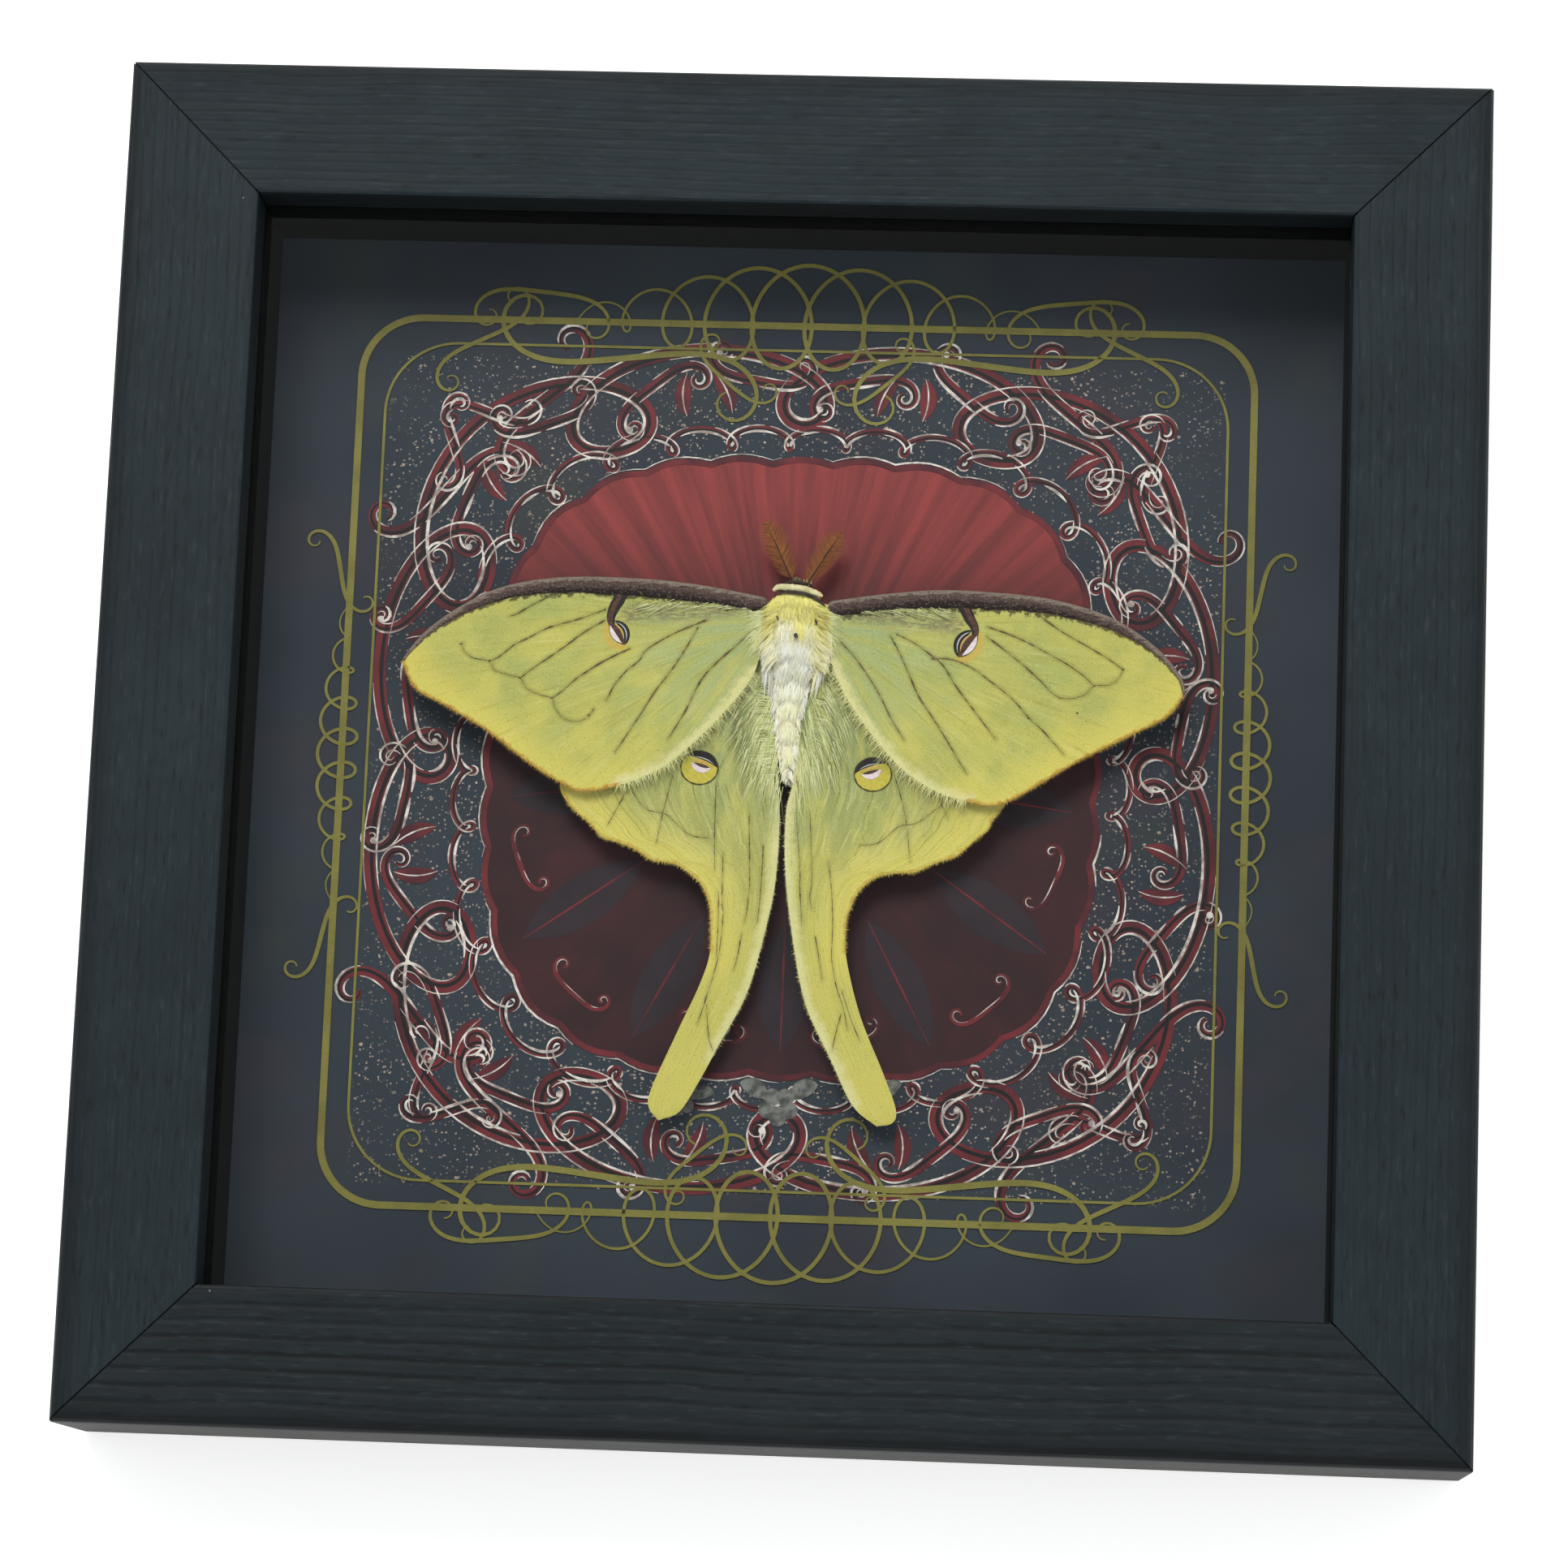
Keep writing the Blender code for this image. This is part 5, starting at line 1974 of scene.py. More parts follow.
    def build_fur(self, material: Material) -> None:
        """Grows a short undercoat, combed back, and the locks over it.

        Args:
            material: The hairs' finish.
        """
        rng = np.random.default_rng(self.seed)
        count = self.undercoat
        y = np.where(rng.random(count) < 0.6, rng.uniform(12.2, 22.5, count), rng.uniform(-1.9, 13.0, count))
        turn = rng.uniform(-0.3, math.pi + 0.3, count)
        roots = np.array([self.skin_place(a, b) for a, b in zip(y, turn)])
        outward = np.stack((np.cos(turn), np.zeros(count), np.sin(turn) * BODY_HEIGHT_RATIO), axis=1)
        thorax = np.clip((y - 10.5) / 2.5, 0, 1)
        length = (0.55 + 0.55 * thorax) * rng.uniform(0.7, 1.25, count)
        swirl = np.array([cloud(a * 0.5, b * 0.5, 4.0) for a, b, _ in roots])
        ahead = np.stack((np.cos(turn) * 0.2 + swirl * 0.8, np.full(count, -1.0), np.zeros(count)), axis=1)
        ahead += outward * (0.2 + 0.15 * thorax)[:, None] + rng.normal(0, 0.22, (count, 3))
        ahead /= np.linalg.norm(ahead, axis=1, keepdims=True)
        hairs = Hairs("moth_fur", material, "moth_fur", roundness=0.12)
        tips = roots + ahead * length[:, None]
        # Painted shade darkens hairs that start in the folds of the thorax.
        shade = rng.uniform(0, 0.15, count) + 0.5 * self.crease(roots[:, :2])
        hairs.grow(roots, tips, 0.08, 0.042, self.tone(roots[:, 0], y), shade)
        for tuft in self.tufts:
            for side in Side:
                self.grow_tuft(hairs, tuft, side, rng)
        hairs.build()

    def grow_tuft(self, hairs: Hairs, tuft: Tuft, side: Side, rng: np.random.Generator) -> None:
        """Lays one tuft's locks on one side of the body.

        Args:
            hairs: The growth that takes them.
            tuft: The tuft.
            side: The side that it lies on.
            rng: Where the chance comes from.
        """
        share = rng.random((tuft.locks, 1))
        ends = []
        for (start, end), lift in ((tuft.roots, -0.12), (tuft.tips, 0.12)):
            places = np.array(start) * (1 - share) + np.array(end) * share
            places += rng.normal(0, tuft.scatter, places.shape)
            offset = [self.middle if y > ABDOMEN_START else self.centre(y)[0] for y in places[:, 1]]
            places = places * (side.value, 1) + np.column_stack((offset, np.zeros(tuft.locks)))
            heights = [self.cover(x, y) + lift for x, y in places]
            ends.append(np.column_stack((places, heights)))
        tone = np.clip(self.tone(*ends[0][:, :2].T) + tuft.lemon, 0, 1)
        # Painted shade darkens locks that start in the folds of the thorax.
        deep = 0.5 * self.crease(ends[0][:, :2])
        hairs.grow_locks(ends[0], ends[1], tuft.each, 0.15, tone, deep, rng)

    def build_head(self, fur: Material) -> None:
        """Builds the eyes, the dark lines, the cream collar, two small bars of painted shade on the shoulders
        and the tuft between the antennae.

        Args:
            fur: The finish of the tuft's hairs.
        """
        brown = PlainFinish(
            "head_brown", screen(70, 56, 44), screen(30, 24, 22), 0.5, (0.6, 0.8), depth=0.08
        ).make()
        globe = PlainFinish(
            "eye_globe", screen(24, 16, 16), screen(44, 30, 26), 0.5, (0.15, 0.3), depth=0.005
        ).make()
        cream = PlainFinish(
            "collar_cream", screen(238, 230, 186), screen(214, 200, 140), 0.8, (0.8, 0.95), depth=0.1
        ).make()
        for side in Side:
            eye = bmesh.new()
            bmesh.ops.create_icosphere(eye, subdivisions=3, radius=self.eye_radius * MM)
            place = Vector(self.eye_place) * Vector((side.value, 1, 1)) * MM
            bmesh.ops.translate(eye, vec=place, verts=eye.verts)
            add_piece("eye_" + side.word, eye, globe)
        self.bar("head_line", ((-1.5, 24.35), (0.2, 24.5), (2.1, 24.15)), 0.5, 0.25, brown)
        collar_line = (
            (-2.95, 23.2), (-2.1, 23.75), (-0.65, 23.6), (0.5, 23.45), (1.65, 23.35), (2.8, 23.0),
            (3.6, 22.6),
        )
        self.bar("collar", collar_line, 1.0, 0.45, cream)
        neck_line = ((-1.5, 23.05), (0.4, 22.8), (1.6, 22.65), (2.9, 22.2), (4.0, 21.3))
        self.bar("neck_band", neck_line, 0.5, 0.5, brown)
        # Two small dark brown bars on the shoulders are painted shade, for the shadows between the locks of
        # fur.
        for side, x, y in ((Side.LEFT, -2.1, 19.4), (Side.RIGHT, 2.9, 19.1)):
            shade_line = ((x - 0.3, y + 0.45), (x, y), (x, y - 0.4))
            self.bar(f"shoulder_fleck_{side.word}", shade_line, 0.28, 0.1, brown)
        rng = np.random.default_rng(self.seed + 1)
        count = self.head_hairs
        starts = (rng.normal(0.6, 0.6, count), rng.uniform(24.1, 24.6, count), rng.uniform(7.9, 8.7, count))
        ahead = (rng.normal(0, 0.3, count), rng.uniform(0.2, 0.8, count), rng.uniform(0, 0.4, count))
        roots = np.column_stack(starts)
        tips = roots + np.column_stack(ahead)
        hairs = Hairs("head_tuft", fur, "moth_fur", cuts=1)
        hairs.grow(roots, tips, 0.05, 0.04, 0.9, rng.uniform(0.2, 0.9, count))
        hairs.build()

    def bar(self, name: str, points: Points, width: float, lift: float, material: Material) -> None:
        """Builds a soft bar that lies across the front of the body and tapers at both ends.

        Args:
            name: The piece's name.
            points: The line that it follows.
            width: Its greatest width.
            lift: How high its middle lies over the coat.
            material: Its finish.
        """
        last = self.bar_columns
        path = even(smooth_path(points), last + 1)
        normals = normals_of(path)
        swell = np.sin(np.pi * np.linspace(0.02, 0.98, last + 1)) ** 0.4
        heights = [self.cover(x, y) + lift for x, y in path]

        def place(u: float, v: float) -> Place:
            """Where one corner of the bar lies."""
            number = round(u * last)
            turn = 2 * math.pi * v
            lump = 1 + 0.3 * cloud(number * 0.45, math.cos(turn), math.sin(turn))
            x, y = path[number] + normals[number] * math.cos(turn) * width / 2 * swell[number] * lump
            return x, y, heights[number] + math.sin(turn) * width * 0.4 * swell[number] * lump

        shape = bmesh.new()
        map_grid(shape, last, self.bar_rows, place)
        close_tube(shape)
        add_piece(name, shape, material)


@dataclass
class Antenna:
    """A feathered antenna: a shaft with a close row of barbs on both sides."""

    side: Side
    base: Place
    root: Place
    turn: float
    size: float
    length: float = 7.9
    tilt: float = math.radians(4)
    barbs: int = 150

    def build(self, material: Material) -> None:
        """Builds the shaft and the barbs as one piece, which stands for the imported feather.

        Args:
            material: The finish of both.
        """
        turned = Matrix.Rotation(self.turn, 4, "Z") @ Matrix.Rotation(self.tilt, 4, "X")
        place = Matrix.Translation(self.root) @ turned @ Matrix.Scale(self.size, 4)
        rng = np.random.default_rng(5 + self.side.value)
        spots = np.linspace(-0.06, 0.97, self.barbs)
        reach = np.interp(spots, (-0.06, 0.16, 0.38, 0.58, 0.80, 1.0), (1.3, 1.8, 2.15, 2.1, 1.5, 0.3))
        base = np.array([tuple(place.inverted() @ Vector(self.base))])
        half, end = (np.array([[0.0, share * self.length, 0.0]]) for share in (0.45, 1.0))
        rows = [(base, end, 0.17, 1.0), (half, end + (0, 0.3, 0), 0.12, 1.0)]
        for way in (-1, 1):
            roots = np.stack((np.zeros(self.barbs), spots * self.length, np.zeros(self.barbs)), axis=1)
            ragged = reach * rng.uniform(0.82, 1.04, self.barbs)
            ahead = (way * ragged, ragged * (0.95 - 0.4 * spots), rng.normal(0, 0.12, self.barbs))
            tips = roots + np.stack(ahead, axis=1) + rng.normal(0, 0.08, roots.shape)
            tips[:, 1] = np.minimum(tips[:, 1], self.length)
            rows.append((roots, tips, 0.06, 0.1))
        hairs = Hairs(f"antenna_{self.side.word}_plume", material, "antenna_brown", cuts=2)
        for roots, tips, radius, shade in rows:
            moved = [np.array([place @ Vector(row) for row in ends]) for ends in (roots, tips)]
            count = len(roots)
            dark = np.clip(shade + rng.uniform(-0.1, 0.25, count), 0, 1)
            hairs.grow(*moved, 0.0, radius, rng.uniform(0, 1, count), dark)
        hairs.build([f"antenna_{self.side.word}"])


@dataclass(frozen=True)
class Comb:
    """Hairs that lie on a wing and start along one line, drawn with X counted outward from the body."""

    count: int
    start: Pair
    end: Pair
    angles: Pair
    lengths: Pair
    dark: float = 0.1
    on_forewing: bool = False
    sides: tuple[Side, ...] = (Side.LEFT, Side.RIGHT)

    def grow(self, hairs: Hairs, wing: Wing, rng: np.random.Generator) -> None:
        """Grows the hairs on a wing.

        Args:
            hairs: The growth that takes them.
            wing: The wing that they lie on.
            rng: Where the chance comes from.
        """
        count = self.count
        share = rng.random(count)
        start, end = np.array(self.start), np.array(self.end)
        roots = start + share[:, None] * (end - start) + rng.normal(0, 0.3, (count, 2))
        first, last = self.angles
        angle = np.radians(first + share * (last - first) + rng.normal(0, 6, count))
        length = rng.uniform(*self.lengths, count)
        tips = roots + np.stack((-np.cos(angle), np.sin(angle)), axis=1) * length[:, None]
        clump = rng.choice(count, max(8, count // 7), replace=False)
        near = clump[np.abs(share[:, None] - share[clump][None]).argmin(1)]
        tips = tips * 0.6 + tips[near] * 0.4
        sign = np.array((wing.side.value, 1))
        roots, tips = roots * sign, tips * sign
        low = np.array([wing.top(a, b) for a, b in roots])
        far = np.array([wing.top(a, b) for a, b in tips])
        is_dark = rng.random(count) < self.dark
        shade = np.where(is_dark, rng.uniform(0.5, 1.0, count), rng.uniform(0, 0.15, count))
        hairs.grow(
            np.column_stack((roots, low + 0.1)),
            np.column_stack((tips, far + 0.04)),
            rng.uniform(0.05, 0.3, count),
            0.044,
            rng.random(count),
            shade,
        )


@dataclass
class WingHair:
    """The long hairs that lie on the wings round the body."""

    seed: int = 23
    combs: tuple[Comb, ...] = (
        Comb(210, (4.9, 13.0), (2.9, -1.5), (232, 262), (2.6, 6.0), 0.2),
        Comb(110, (2.6, 10.0), (1.2, -4.0), (252, 268), (4.0, 9.0), 0.14),
        Comb(210, (3.0, 10.5), (1.9, -1.0), (172, 192), (2.0, 4.0), 0.14, False, (Side.LEFT,)),
        Comb(80, (3.6, 10.0), (2.6, 2.0), (190, 215), (1.2, 2.6), 0.2, False, (Side.RIGHT,)),
        Comb(90, (7.0, 8.5), (5.0, -1.5), (240, 260), (2.6, 5.5), 0.45),
        Comb(260, (4.2, 21.4), (4.4, 16.0), (185, 240), (1.4, 3.2), 0.03, True),
        Comb(170, (5.5, 21.3), (20.0, 20.9), (196, 204), (1.2, 3.0), 0.45, True),
    )

    def build(self, wings: dict[str, Wing]) -> None:
        """Grows the hairs on each side.

        Args:
            wings: The wings, by name.
        """
        hair = HairTone(
            "wing_root_hair", screen(238, 236, 190), screen(196, 202, 116), screen(112, 108, 58)
        ).make()
        rng = np.random.default_rng(self.seed)
        for side in Side:
            hairs = Hairs(f"wing_hair_{side.word}", hair, "moth_fur")
            for comb in (comb for comb in self.combs if side in comb.sides):
                kind = "forewing" if comb.on_forewing else "hindwing"
                comb.grow(hairs, wings[f"{kind}_{side.word}"], rng)
            hairs.build()


@dataclass
class Moth:
    """The whole moth."""

    def finishes(self) -> tuple[WingFinishes, WingFinishes]:
        """Makes the materials of the wings.

        Returns:
            Those of the forewings and those of the hindwings.
        """
        tones = {
            "black": (screen(20, 17, 18), screen(38, 28, 26)),
            "brown": (screen(96, 62, 48), screen(52, 34, 30)),
            "blue": (screen(150, 158, 160), screen(196, 198, 194)),
            "gold": (screen(206, 170, 92), screen(184, 146, 72)),
            "white": (screen(234, 218, 218), screen(206, 186, 190)),
            "yellow": (screen(198, 184, 76), screen(182, 166, 60)),
            "olive": (screen(92, 86, 34), screen(60, 55, 24)),
        }
        inks = {
            word: PlainFinish("spot_" + word, first, second, 0.5, (0.8, 0.95), depth=0.03).make()
            for word, (first, second) in tones.items()
        }
        vein = PlainFinish(
            "vein_olive", screen(120, 106, 56), screen(70, 58, 36), 0.9, (0.8, 0.9), depth=0.02
        ).make()
        fringe = HairTone(
            "fringe_ochre", screen(204, 176, 80), screen(170, 126, 50), screen(110, 84, 30)
        ).make()
        hind_fringe = HairTone(
            "fringe_yellow", screen(218, 202, 104), screen(190, 160, 66), screen(120, 96, 40)
        ).make()
        down = HairTone(
            "wing_down_pale", screen(226, 222, 168), screen(208, 204, 124), screen(150, 146, 84)
        ).make()
        scales = WingScales("forewing_scales", 0.05, 0.38, 0.8, 0.2, 17.0).make()
        tails = WingScales("hindwing_scales", 0.35, 0.75, 0.5, 0.9, 40.0).make()
        fore = WingFinishes(scales, vein, CostaScales().make(), fringe, down, inks)
        return fore, replace(fore, scales=tails, fringe=hind_fringe)

    def wings(self) -> dict[str, Wing]:
        """Gives the wings the edges, veins and lines that the photo shows.

        Returns:
            The four wings, by name.
        """
        fore, hind = self.finishes()
        fore_left = Forewing(
            side=Side.LEFT,
            finishes=fore,
            long_edge=(
                (-51.6, 12.8), (-49.6, 9.2), (-45.4, 6.9), (-40.0, 3.8), (-33.9, -0.6), (-29.4, -3.2),
                (-26.6, -4.1), (-22.1, -3.2), (-17.8, -1.4), (-14.2, 1.2), (-9.0, 6.6), (-5.0, 12.3),
                (-4.4, 17.0),
            ),
            short_edge=(
                (-3.3, 22.2), (-13.3, 23.8), (-22.5, 24.4), (-31.7, 24.2), (-39.1, 22.7), (-44.5, 19.9),
                (-48.8, 16.5), (-51.6, 12.8),
            ),
            veins=(
                ((-31.6, 22.2), (-35.0, 20.3), (-36.6, 19.3), (-37.5, 19.0)),
                (
                    (-24.8, 20.2), (-28.3, 18.8), (-32.2, 17.6), (-34.8, 16.2), (-36.7, 15.2),
                    (-38.6, 13.6), (-39.9, 12.9),
                ),
                ((-24.9, 18.7), (-27.6, 17.0), (-30.1, 15.0), (-32.7, 13.1), (-34.6, 11.7), (-35.7, 10.7)),
                ((-21.4, 15.0), (-23.8, 13.8), (-26.1, 12.4), (-28.3, 10.8), (-29.9, 9.3), (-31.4, 8.1)),
                (
                    (-11.5, 19.1), (-15.5, 17.3), (-19.0, 15.1), (-20.2, 13.4), (-21.8, 12.0),
                    (-23.3, 10.0), (-24.2, 8.0),
                ),
                (
                    (-12.6, 18.1), (-14.1, 15.2), (-15.9, 12.2), (-17.8, 9.5), (-19.6, 6.4), (-21.4, 3.4),
                    (-22.8, 1.1),
                ),
                ((-5.4, 17.9), (-7.6, 15.7), (-10.1, 13.3), (-12.0, 10.9), (-13.8, 6.9), (-15.9, 3.1)),
                ((-25.8, 6.9), (-26.5, 5.7)),
            ),
            faint=(
                (-43.6, 15.2), (-43.4, 14.4), (-42.2, 13.4), (-39.9, 12.9), (-39.2, 11.8), (-37.5, 11.2),
                (-35.7, 10.7), (-34.8, 9.4), (-33.1, 8.6), (-31.4, 8.1), (-30.9, 6.8), (-29.7, 5.5),
                (-28.0, 5.1), (-26.7, 5.6),
            ),
            knots=((-43.8, 15.2), (-39.9, 13.0), (-35.8, 10.8), (-31.4, 8.2), (-26.5, 6.0)),
            spot=(-23.1, 17.1),
            stalk=(
                (0.15, 5.2), (-0.13, 4.2), (-0.47, 3.65), (-0.83, 2.8), (-1.0, 2.1), (-0.95, 1.5),
                (-0.8, 1.0),
            ),
        )
        fore_right = Forewing(
            side=Side.RIGHT,
            finishes=fore,
            long_edge=(
                (51.2, 11.0), (49.2, 8.2), (45.5, 6.0), (38.1, 2.0), (32.5, -1.6), (28.9, -3.8),
                (26.4, -4.5), (23.2, -4.0), (19.0, -2.7), (14.7, 0.1), (10.9, 4.2), (7.3, 9.2),
                (5.2, 13.5), (4.6, 17.5),
            ),
            short_edge=(
                (3.9, 21.9), (10.9, 23.0), (18.5, 23.8), (26.1, 23.7), (33.7, 23.0), (41.3, 20.9),
                (47.1, 17.3), (50.6, 13.4), (51.2, 11.0),
            ),
            veins=(
                ((31.1, 21.6), (33.1, 20.1), (35.4, 18.6), (38.4, 17.0), (41.0, 15.5), (43.1, 14.1)),
                (
                    (25.2, 19.2), (28.0, 18.3), (30.9, 17.1), (33.6, 15.7), (36.2, 14.3), (38.2, 12.9),
                    (39.3, 11.8),
                ),
                ((25.2, 17.9), (27.4, 16.3), (30.0, 14.3), (32.4, 12.2), (34.0, 10.6), (35.0, 10.0)),
                (
                    (18.1, 14.7), (20.6, 14.7), (23.3, 13.7), (26.2, 11.7), (28.9, 9.6), (31.1, 7.2),
                    (32.9, 5.6), (35.7, 2.6),
                ),
                (
                    (13.4, 17.9), (15.7, 16.8), (18.0, 15.2), (19.7, 13.8), (21.4, 11.2), (23.4, 8.6),
                    (26.8, 4.3),
                ),
                (
                    (12.6, 17.7), (13.8, 15.6), (15.2, 12.7), (16.6, 9.7), (18.6, 6.8), (20.3, 4.2),
                    (22.1, 1.3), (23.2, -0.4),
                ),
                ((5.1, 17.6), (7.7, 15.1), (9.7, 12.5), (11.4, 9.9), (13.1, 6.7), (14.9, 3.8)),
            ),
            faint=(
                (43.1, 14.1), (42.7, 13.1), (41.4, 12.0), (39.5, 11.8), (38.2, 10.6), (36.6, 10.0),
                (35.0, 10.0),
            ),
            knots=((43.1, 14.1), (39.4, 11.8), (35.0, 10.0), (31.0, 7.2), (37.3, 8.1)),
            spot=(22.75, 16.85),
            spot_scale=1.14,
            stalk=(
                (0.75, 4.9), (0.25, 3.8), (-0.18, 2.9), (-0.5, 2.4), (-0.72, 2.0), (-0.85, 1.4),
                (-0.8, 1.0),
            ),
        )
        hind_left = Hindwing(
            side=Side.LEFT,
            finishes=hind,
            long_edge=(
                (-4.7, 15.6), (-12.0, 12.4), (-21.5, 6.4), (-28.0, 0.4), (-29.9, -3.0), (-28.6, -5.7),
                (-25.6, -8.3), (-24.6, -9.5), (-23.7, -10.1), (-22.8, -10.3), (-21.7, -10.6),
                (-20.6, -11.0), (-19.5, -11.5), (-18.1, -12.4), (-17.2, -12.8), (-16.3, -12.9),
                (-14.4, -13.2), (-13.4, -13.7), (-12.3, -14.5), (-11.2, -15.4), (-10.4, -16.6),
                (-9.9, -17.9), (-9.6, -19.4), (-9.4, -24.4), (-10.6, -28.8), (-13.2, -34.9),
                (-16.3, -42.4), (-16.6, -44.9), (-15.3, -46.6),
            ),
            short_edge=(
                (-15.3, -46.6), (-12.6, -45.4), (-10.3, -41.6), (-8.6, -38.2), (-8.1, -37.1),
                (-4.4, -29.6), (-2.2, -20.8), (-1.2, -14.3), (-1.1, -5.7), (-2.0, -1.4), (-1.2, 3.0),
                (-2.0, 8.0), (-3.0, 12.4), (-4.7, 15.6),
            ),
            veins=(
                ((-15.0, -0.8), (-16.2, -6.0), (-17.0, -10.6)),
                ((-21.2, -3.8), (-23.5, -8.4)),
                ((-9.5, -2.6), (-9.4, -9.4), (-9.2, -13.8)),
                ((-5.0, -6.5), (-4.6, -15.2), (-4.7, -17.0), (-4.8, -18.9), (-5.1, -20.5)),
                ((-8.2, -11.5), (-8.1, -17.6), (-7.9, -19.4), (-8.0, -22.2), (-8.3, -25.0), (-8.9, -27.8)),
                ((-8.9, -27.8), (-9.5, -29.8), (-10.0, -31.7), (-10.5, -33.3), (-10.7, -34.0)),
                ((-5.4, -22.1), (-5.9, -25.4), (-6.3, -26.8)),
                ((-9.6, -31.4), (-9.3, -34.6), (-8.9, -36.5), (-8.4, -37.5)),
                ((-8.6, -16.7), (-8.5, -19.5), (-8.5, -22.4), (-8.6, -25.4)),
                ((-3.0, -10.4), (-3.1, -15.9), (-3.4, -20.5)),
            ),
            faint=((-20.4, -3.8), (-18.5, -6.0), (-15.8, -6.7), (-12.8, -9.2), (-10.2, -9.6)),
            spot=(-11.75, -0.35),
        )
        hind_right = Hindwing(
            side=Side.RIGHT,
            finishes=hind,
            long_edge=(
                (4.8, 15.2), (12.0, 12.2), (21.0, 6.2), (27.0, 0.2), (28.4, -3.4), (27.7, -4.9),
                (26.6, -6.4), (26.1, -7.6), (24.4, -9.0), (23.2, -10.2), (22.0, -11.2), (21.2, -11.5),
                (20.2, -11.8), (19.2, -12.2), (18.2, -12.7), (17.2, -13.2), (16.5, -13.4), (15.0, -13.5),
                (13.4, -13.7), (12.0, -14.1), (10.8, -14.9), (9.8, -15.9), (9.1, -17.1), (8.6, -18.5),
                (8.2, -19.9), (8.2, -24.1), (10.3, -32.0), (13.7, -39.8), (15.4, -44.2), (15.0, -46.0),
                (13.0, -46.5),
            ),
            short_edge=(
                (13.0, -46.5), (9.8, -43.9), (6.6, -37.7), (3.1, -30.5), (0.9, -20.4), (-0.1, -12.5),
                (-0.2, -5.7), (0.5, -2.0), (0.4, 2.5), (1.3, 8.0), (2.8, 12.4), (4.8, 15.2),
            ),
            veins=(
                ((13.7, -0.4), (15.3, -5.7), (16.2, -12.0)),
                ((19.5, -3.3), (21.0, -6.3)),
                ((4.4, 12.3), (5.2, 7.5), (5.6, 2.6)),
                ((5.6, -12.4), (6.1, -16.0), (6.4, -20.4), (6.4, -24.5), (6.7, -26.4), (7.0, -28.0)),
                ((7.0, -28.0), (7.5, -29.5), (8.1, -31.1), (8.5, -32.7), (8.8, -34.1)),
                ((7.9, -29.1), (8.6, -31.1), (9.1, -32.5), (9.8, -34.1), (10.4, -35.4)),
                ((2.9, -5.6), (3.4, -12.9), (3.5, -15.2), (3.3, -17.0), (3.6, -18.6)),
                ((1.2, -6.6), (1.9, -13.6), (1.9, -15.2), (2.1, -17.5), (2.4, -20.5)),
                ((4.2, -22.1), (4.8, -25.0), (5.3, -27.8)),
                ((7.9, -32.1), (7.3, -34.6), (6.9, -36.8)),
            ),
            faint=((20.0, -4.4), (17.0, -6.8), (14.6, -7.4), (12.0, -9.6), (9.6, -10.0)),
            spot=(10.95, -0.6),
        )
        return {wing.name: wing for wing in (fore_left, fore_right, hind_left, hind_right)}

    def build(self) -> None:
        """Builds the wings, the body, the antennae and the hair between them."""
        wings = self.wings()
        for wing in wings.values():
            wing.build()
        Body().build()
        WingHair().build(wings)
        plume = HairTone(
            "antenna_plume_brown", screen(158, 92, 44), screen(118, 72, 34), screen(52, 28, 18)
        ).make()
        Antenna(Side.LEFT, (-0.4, 24.5, 8.4), (-0.85, 25.8, 7.6), math.radians(26.5), 1.0).build(plume)
        Antenna(Side.RIGHT, (1.4, 24.4, 8.4), (1.6, 25.3, 7.6), math.radians(-33.0), 0.95).build(plume)


# The studio


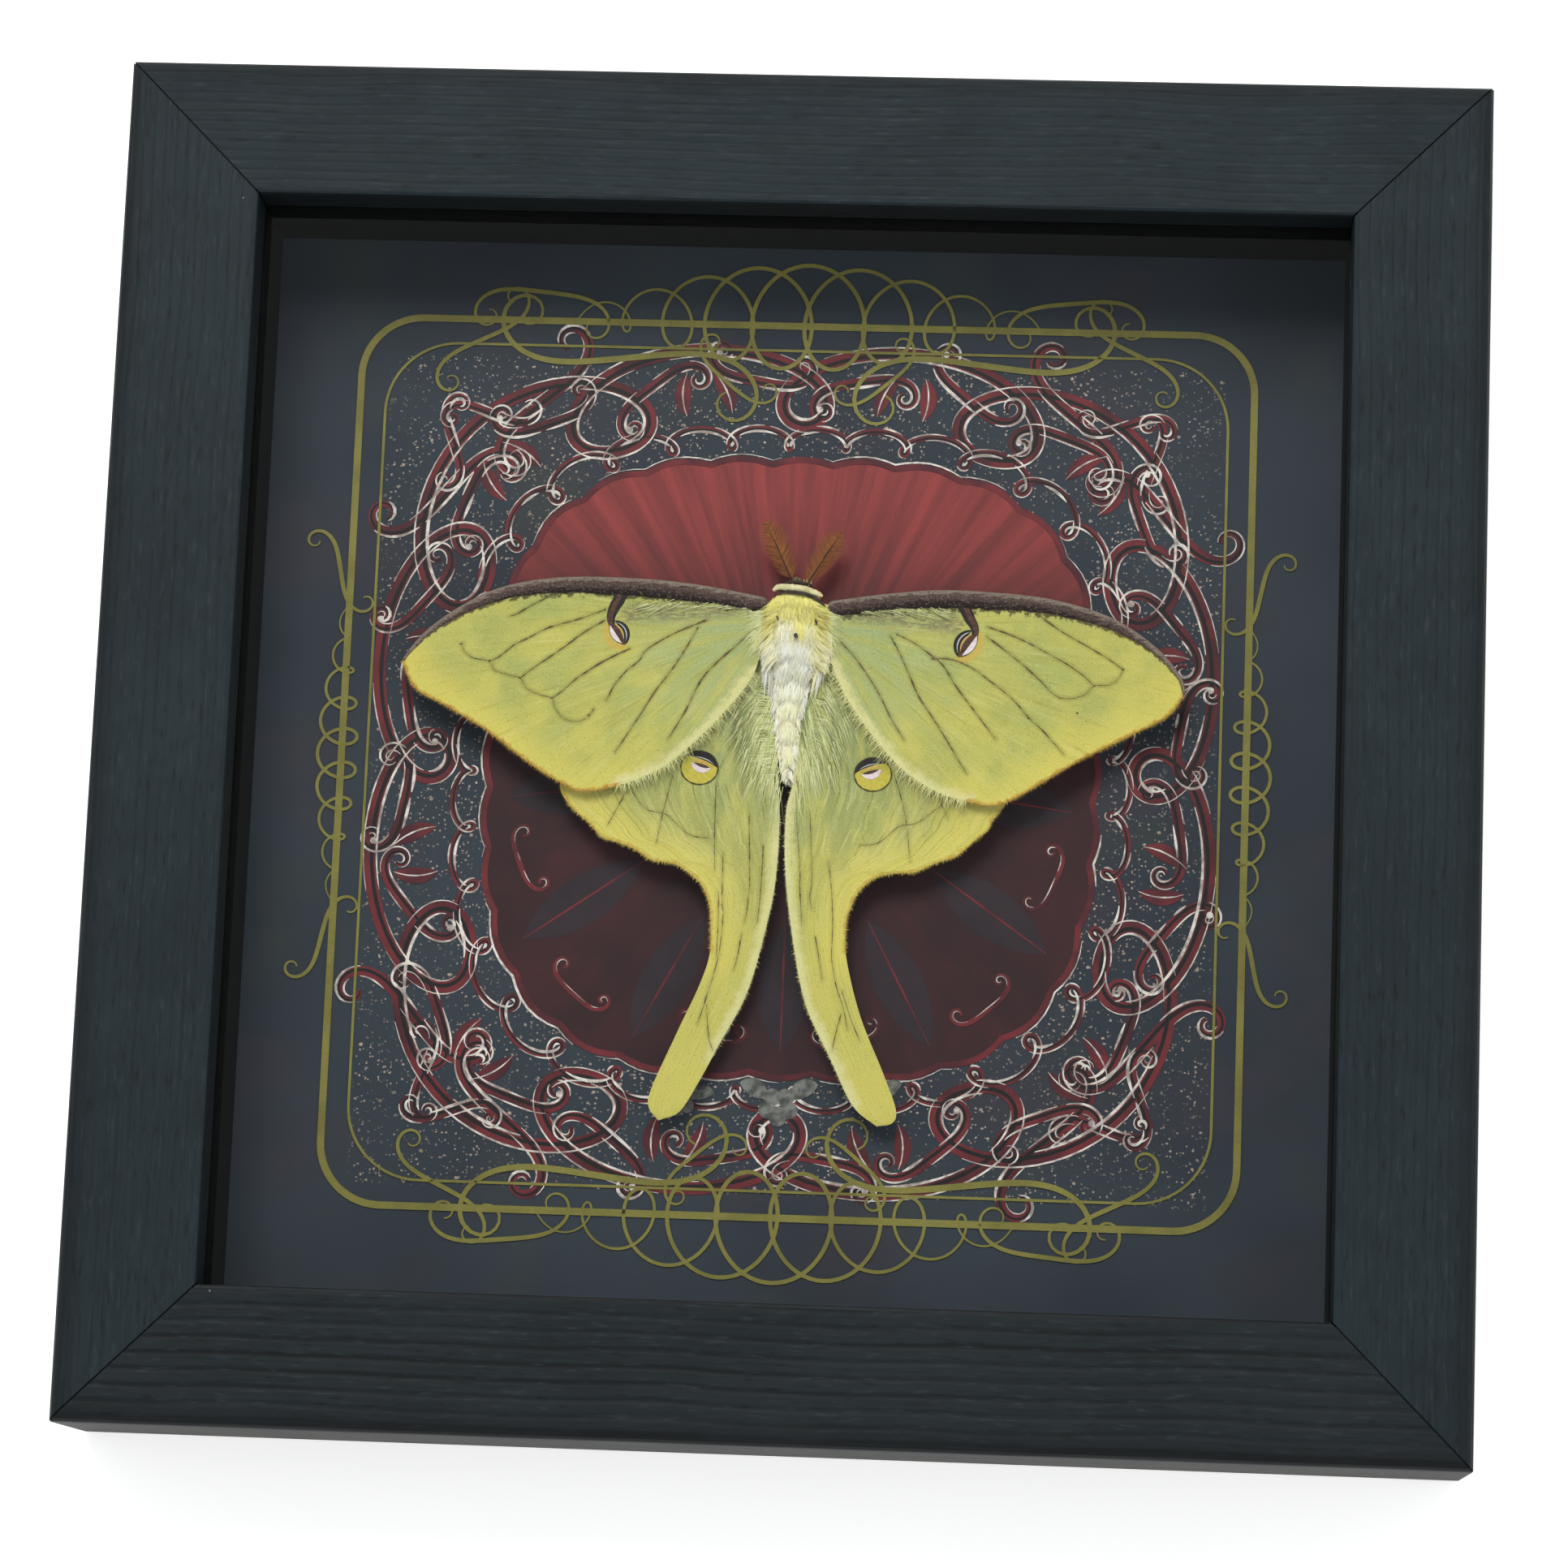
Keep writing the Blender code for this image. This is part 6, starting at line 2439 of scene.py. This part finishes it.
@dataclass
class Studio:
    """A white floor, soft light and the photo's camera."""

    camera_place: Place = (0.0407203, -0.1193077, 0.6722492)
    camera_view: Place = (-0.06116086, 0.17333065, -0.98296278)
    camera_up: Place = (-0.0280434, 0.98411924, 0.17527946)
    lens: float = 118.92
    sensor: float = 36.0

    def floor(self) -> None:
        """Lays the pale floor under the object."""
        shape = bmesh.new()
        bmesh.ops.create_grid(shape, x_segments=1, y_segments=1, size=3.0)
        mesh = bpy.data.meshes.new("floor")
        shape.to_mesh(mesh)
        shape.free()
        nodes = Nodes("pale_floor", Specular_IOR_Level=0.1, Emission_Strength=0.45)
        nodes.shader.inputs["Emission Color"].default_value = (1.0, 0.99, 0.975, 1.0)
        nodes.colour = (0.92, 0.92, 0.915, 1.0)
        mesh.materials.append(nodes.finished(0.9))
        obj = bpy.data.objects.new("floor", mesh)
        bpy.context.scene.collection.objects.link(obj)

    def world(self) -> None:
        """Sets the even light that comes from all round, weaker straight overhead."""
        world = bpy.data.worlds.new("studio")
        bpy.context.scene.world = world
        world.use_nodes = True
        nodes, links = world.node_tree.nodes, world.node_tree.links
        back = nodes["Background"]
        place = nodes.new("ShaderNodeTexCoord").outputs["Generated"]
        split = nodes.new("ShaderNodeSeparateXYZ")
        ramp = nodes.new("ShaderNodeMapRange")
        for socket, number in enumerate((0.80, 0.97, 0.85, 0.25), 1):
            ramp.inputs[socket].default_value = number
        links.new(place, split.inputs[0])
        links.new(split.outputs[2], ramp.inputs[0])
        links.new(ramp.outputs[0], back.inputs["Strength"])
        back.inputs["Color"].default_value = (0.96, 0.98, 1.0, 1.0)

    def lamp(
        self, name: str, place: Sequence[float], size: float, power: float, colour: Sequence[float]
    ) -> None:
        """Hangs a square soft lamp that faces the middle of the object.

        Args:
            name: The lamp's name.
            place: Where it hangs, in metres.
            size: The length of its side, in metres.
            power: Its power, in watts.
            colour: The colour of its light.
        """
        data = bpy.data.lights.new(name, "AREA")
        data.size = size
        data.energy = power
        data.color = colour
        obj = bpy.data.objects.new(name, data)
        obj.location = place
        obj.rotation_euler = (-Vector(place)).to_track_quat("-Z", "Y").to_euler()
        bpy.context.scene.collection.objects.link(obj)

    def camera(self) -> None:
        """Sets the camera where the photo's stood."""
        data = bpy.data.cameras.new("camera")
        data.lens = self.lens
        data.sensor_width = self.sensor
        obj = bpy.data.objects.new("camera", data)
        view, up = Vector(self.camera_view), Vector(self.camera_up)
        right = view.cross(up).normalized()
        up = right.cross(view).normalized()
        turn = Matrix((right, up, -view)).transposed().to_4x4()
        obj.matrix_world = Matrix.Translation(self.camera_place) @ turn
        bpy.context.scene.collection.objects.link(obj)
        bpy.context.scene.camera = obj

    def build(self) -> None:
        """Sets up the whole studio."""
        self.floor()
        self.world()
        self.lamp("key", (-0.12, 0.58, 0.86), 0.45, 7.5, (1.0, 0.99, 0.97))
        self.lamp("fill", (0.7, -0.25, 0.65), 0.7, 1.7, (0.97, 0.98, 1.0))
        self.camera()
        bpy.context.scene.view_settings.view_transform = "Standard"


def main() -> None:
    """Builds everything in order."""
    logging.basicConfig(level=logging.INFO, format="%(message)s")
    Studio().build()
    box_frame = BoxFrame()
    box_frame.dress()
    box_frame.fill_mitres()
    CardPrint().build()
    Moth().build()
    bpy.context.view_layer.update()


if __name__ == "__main__":
    main()
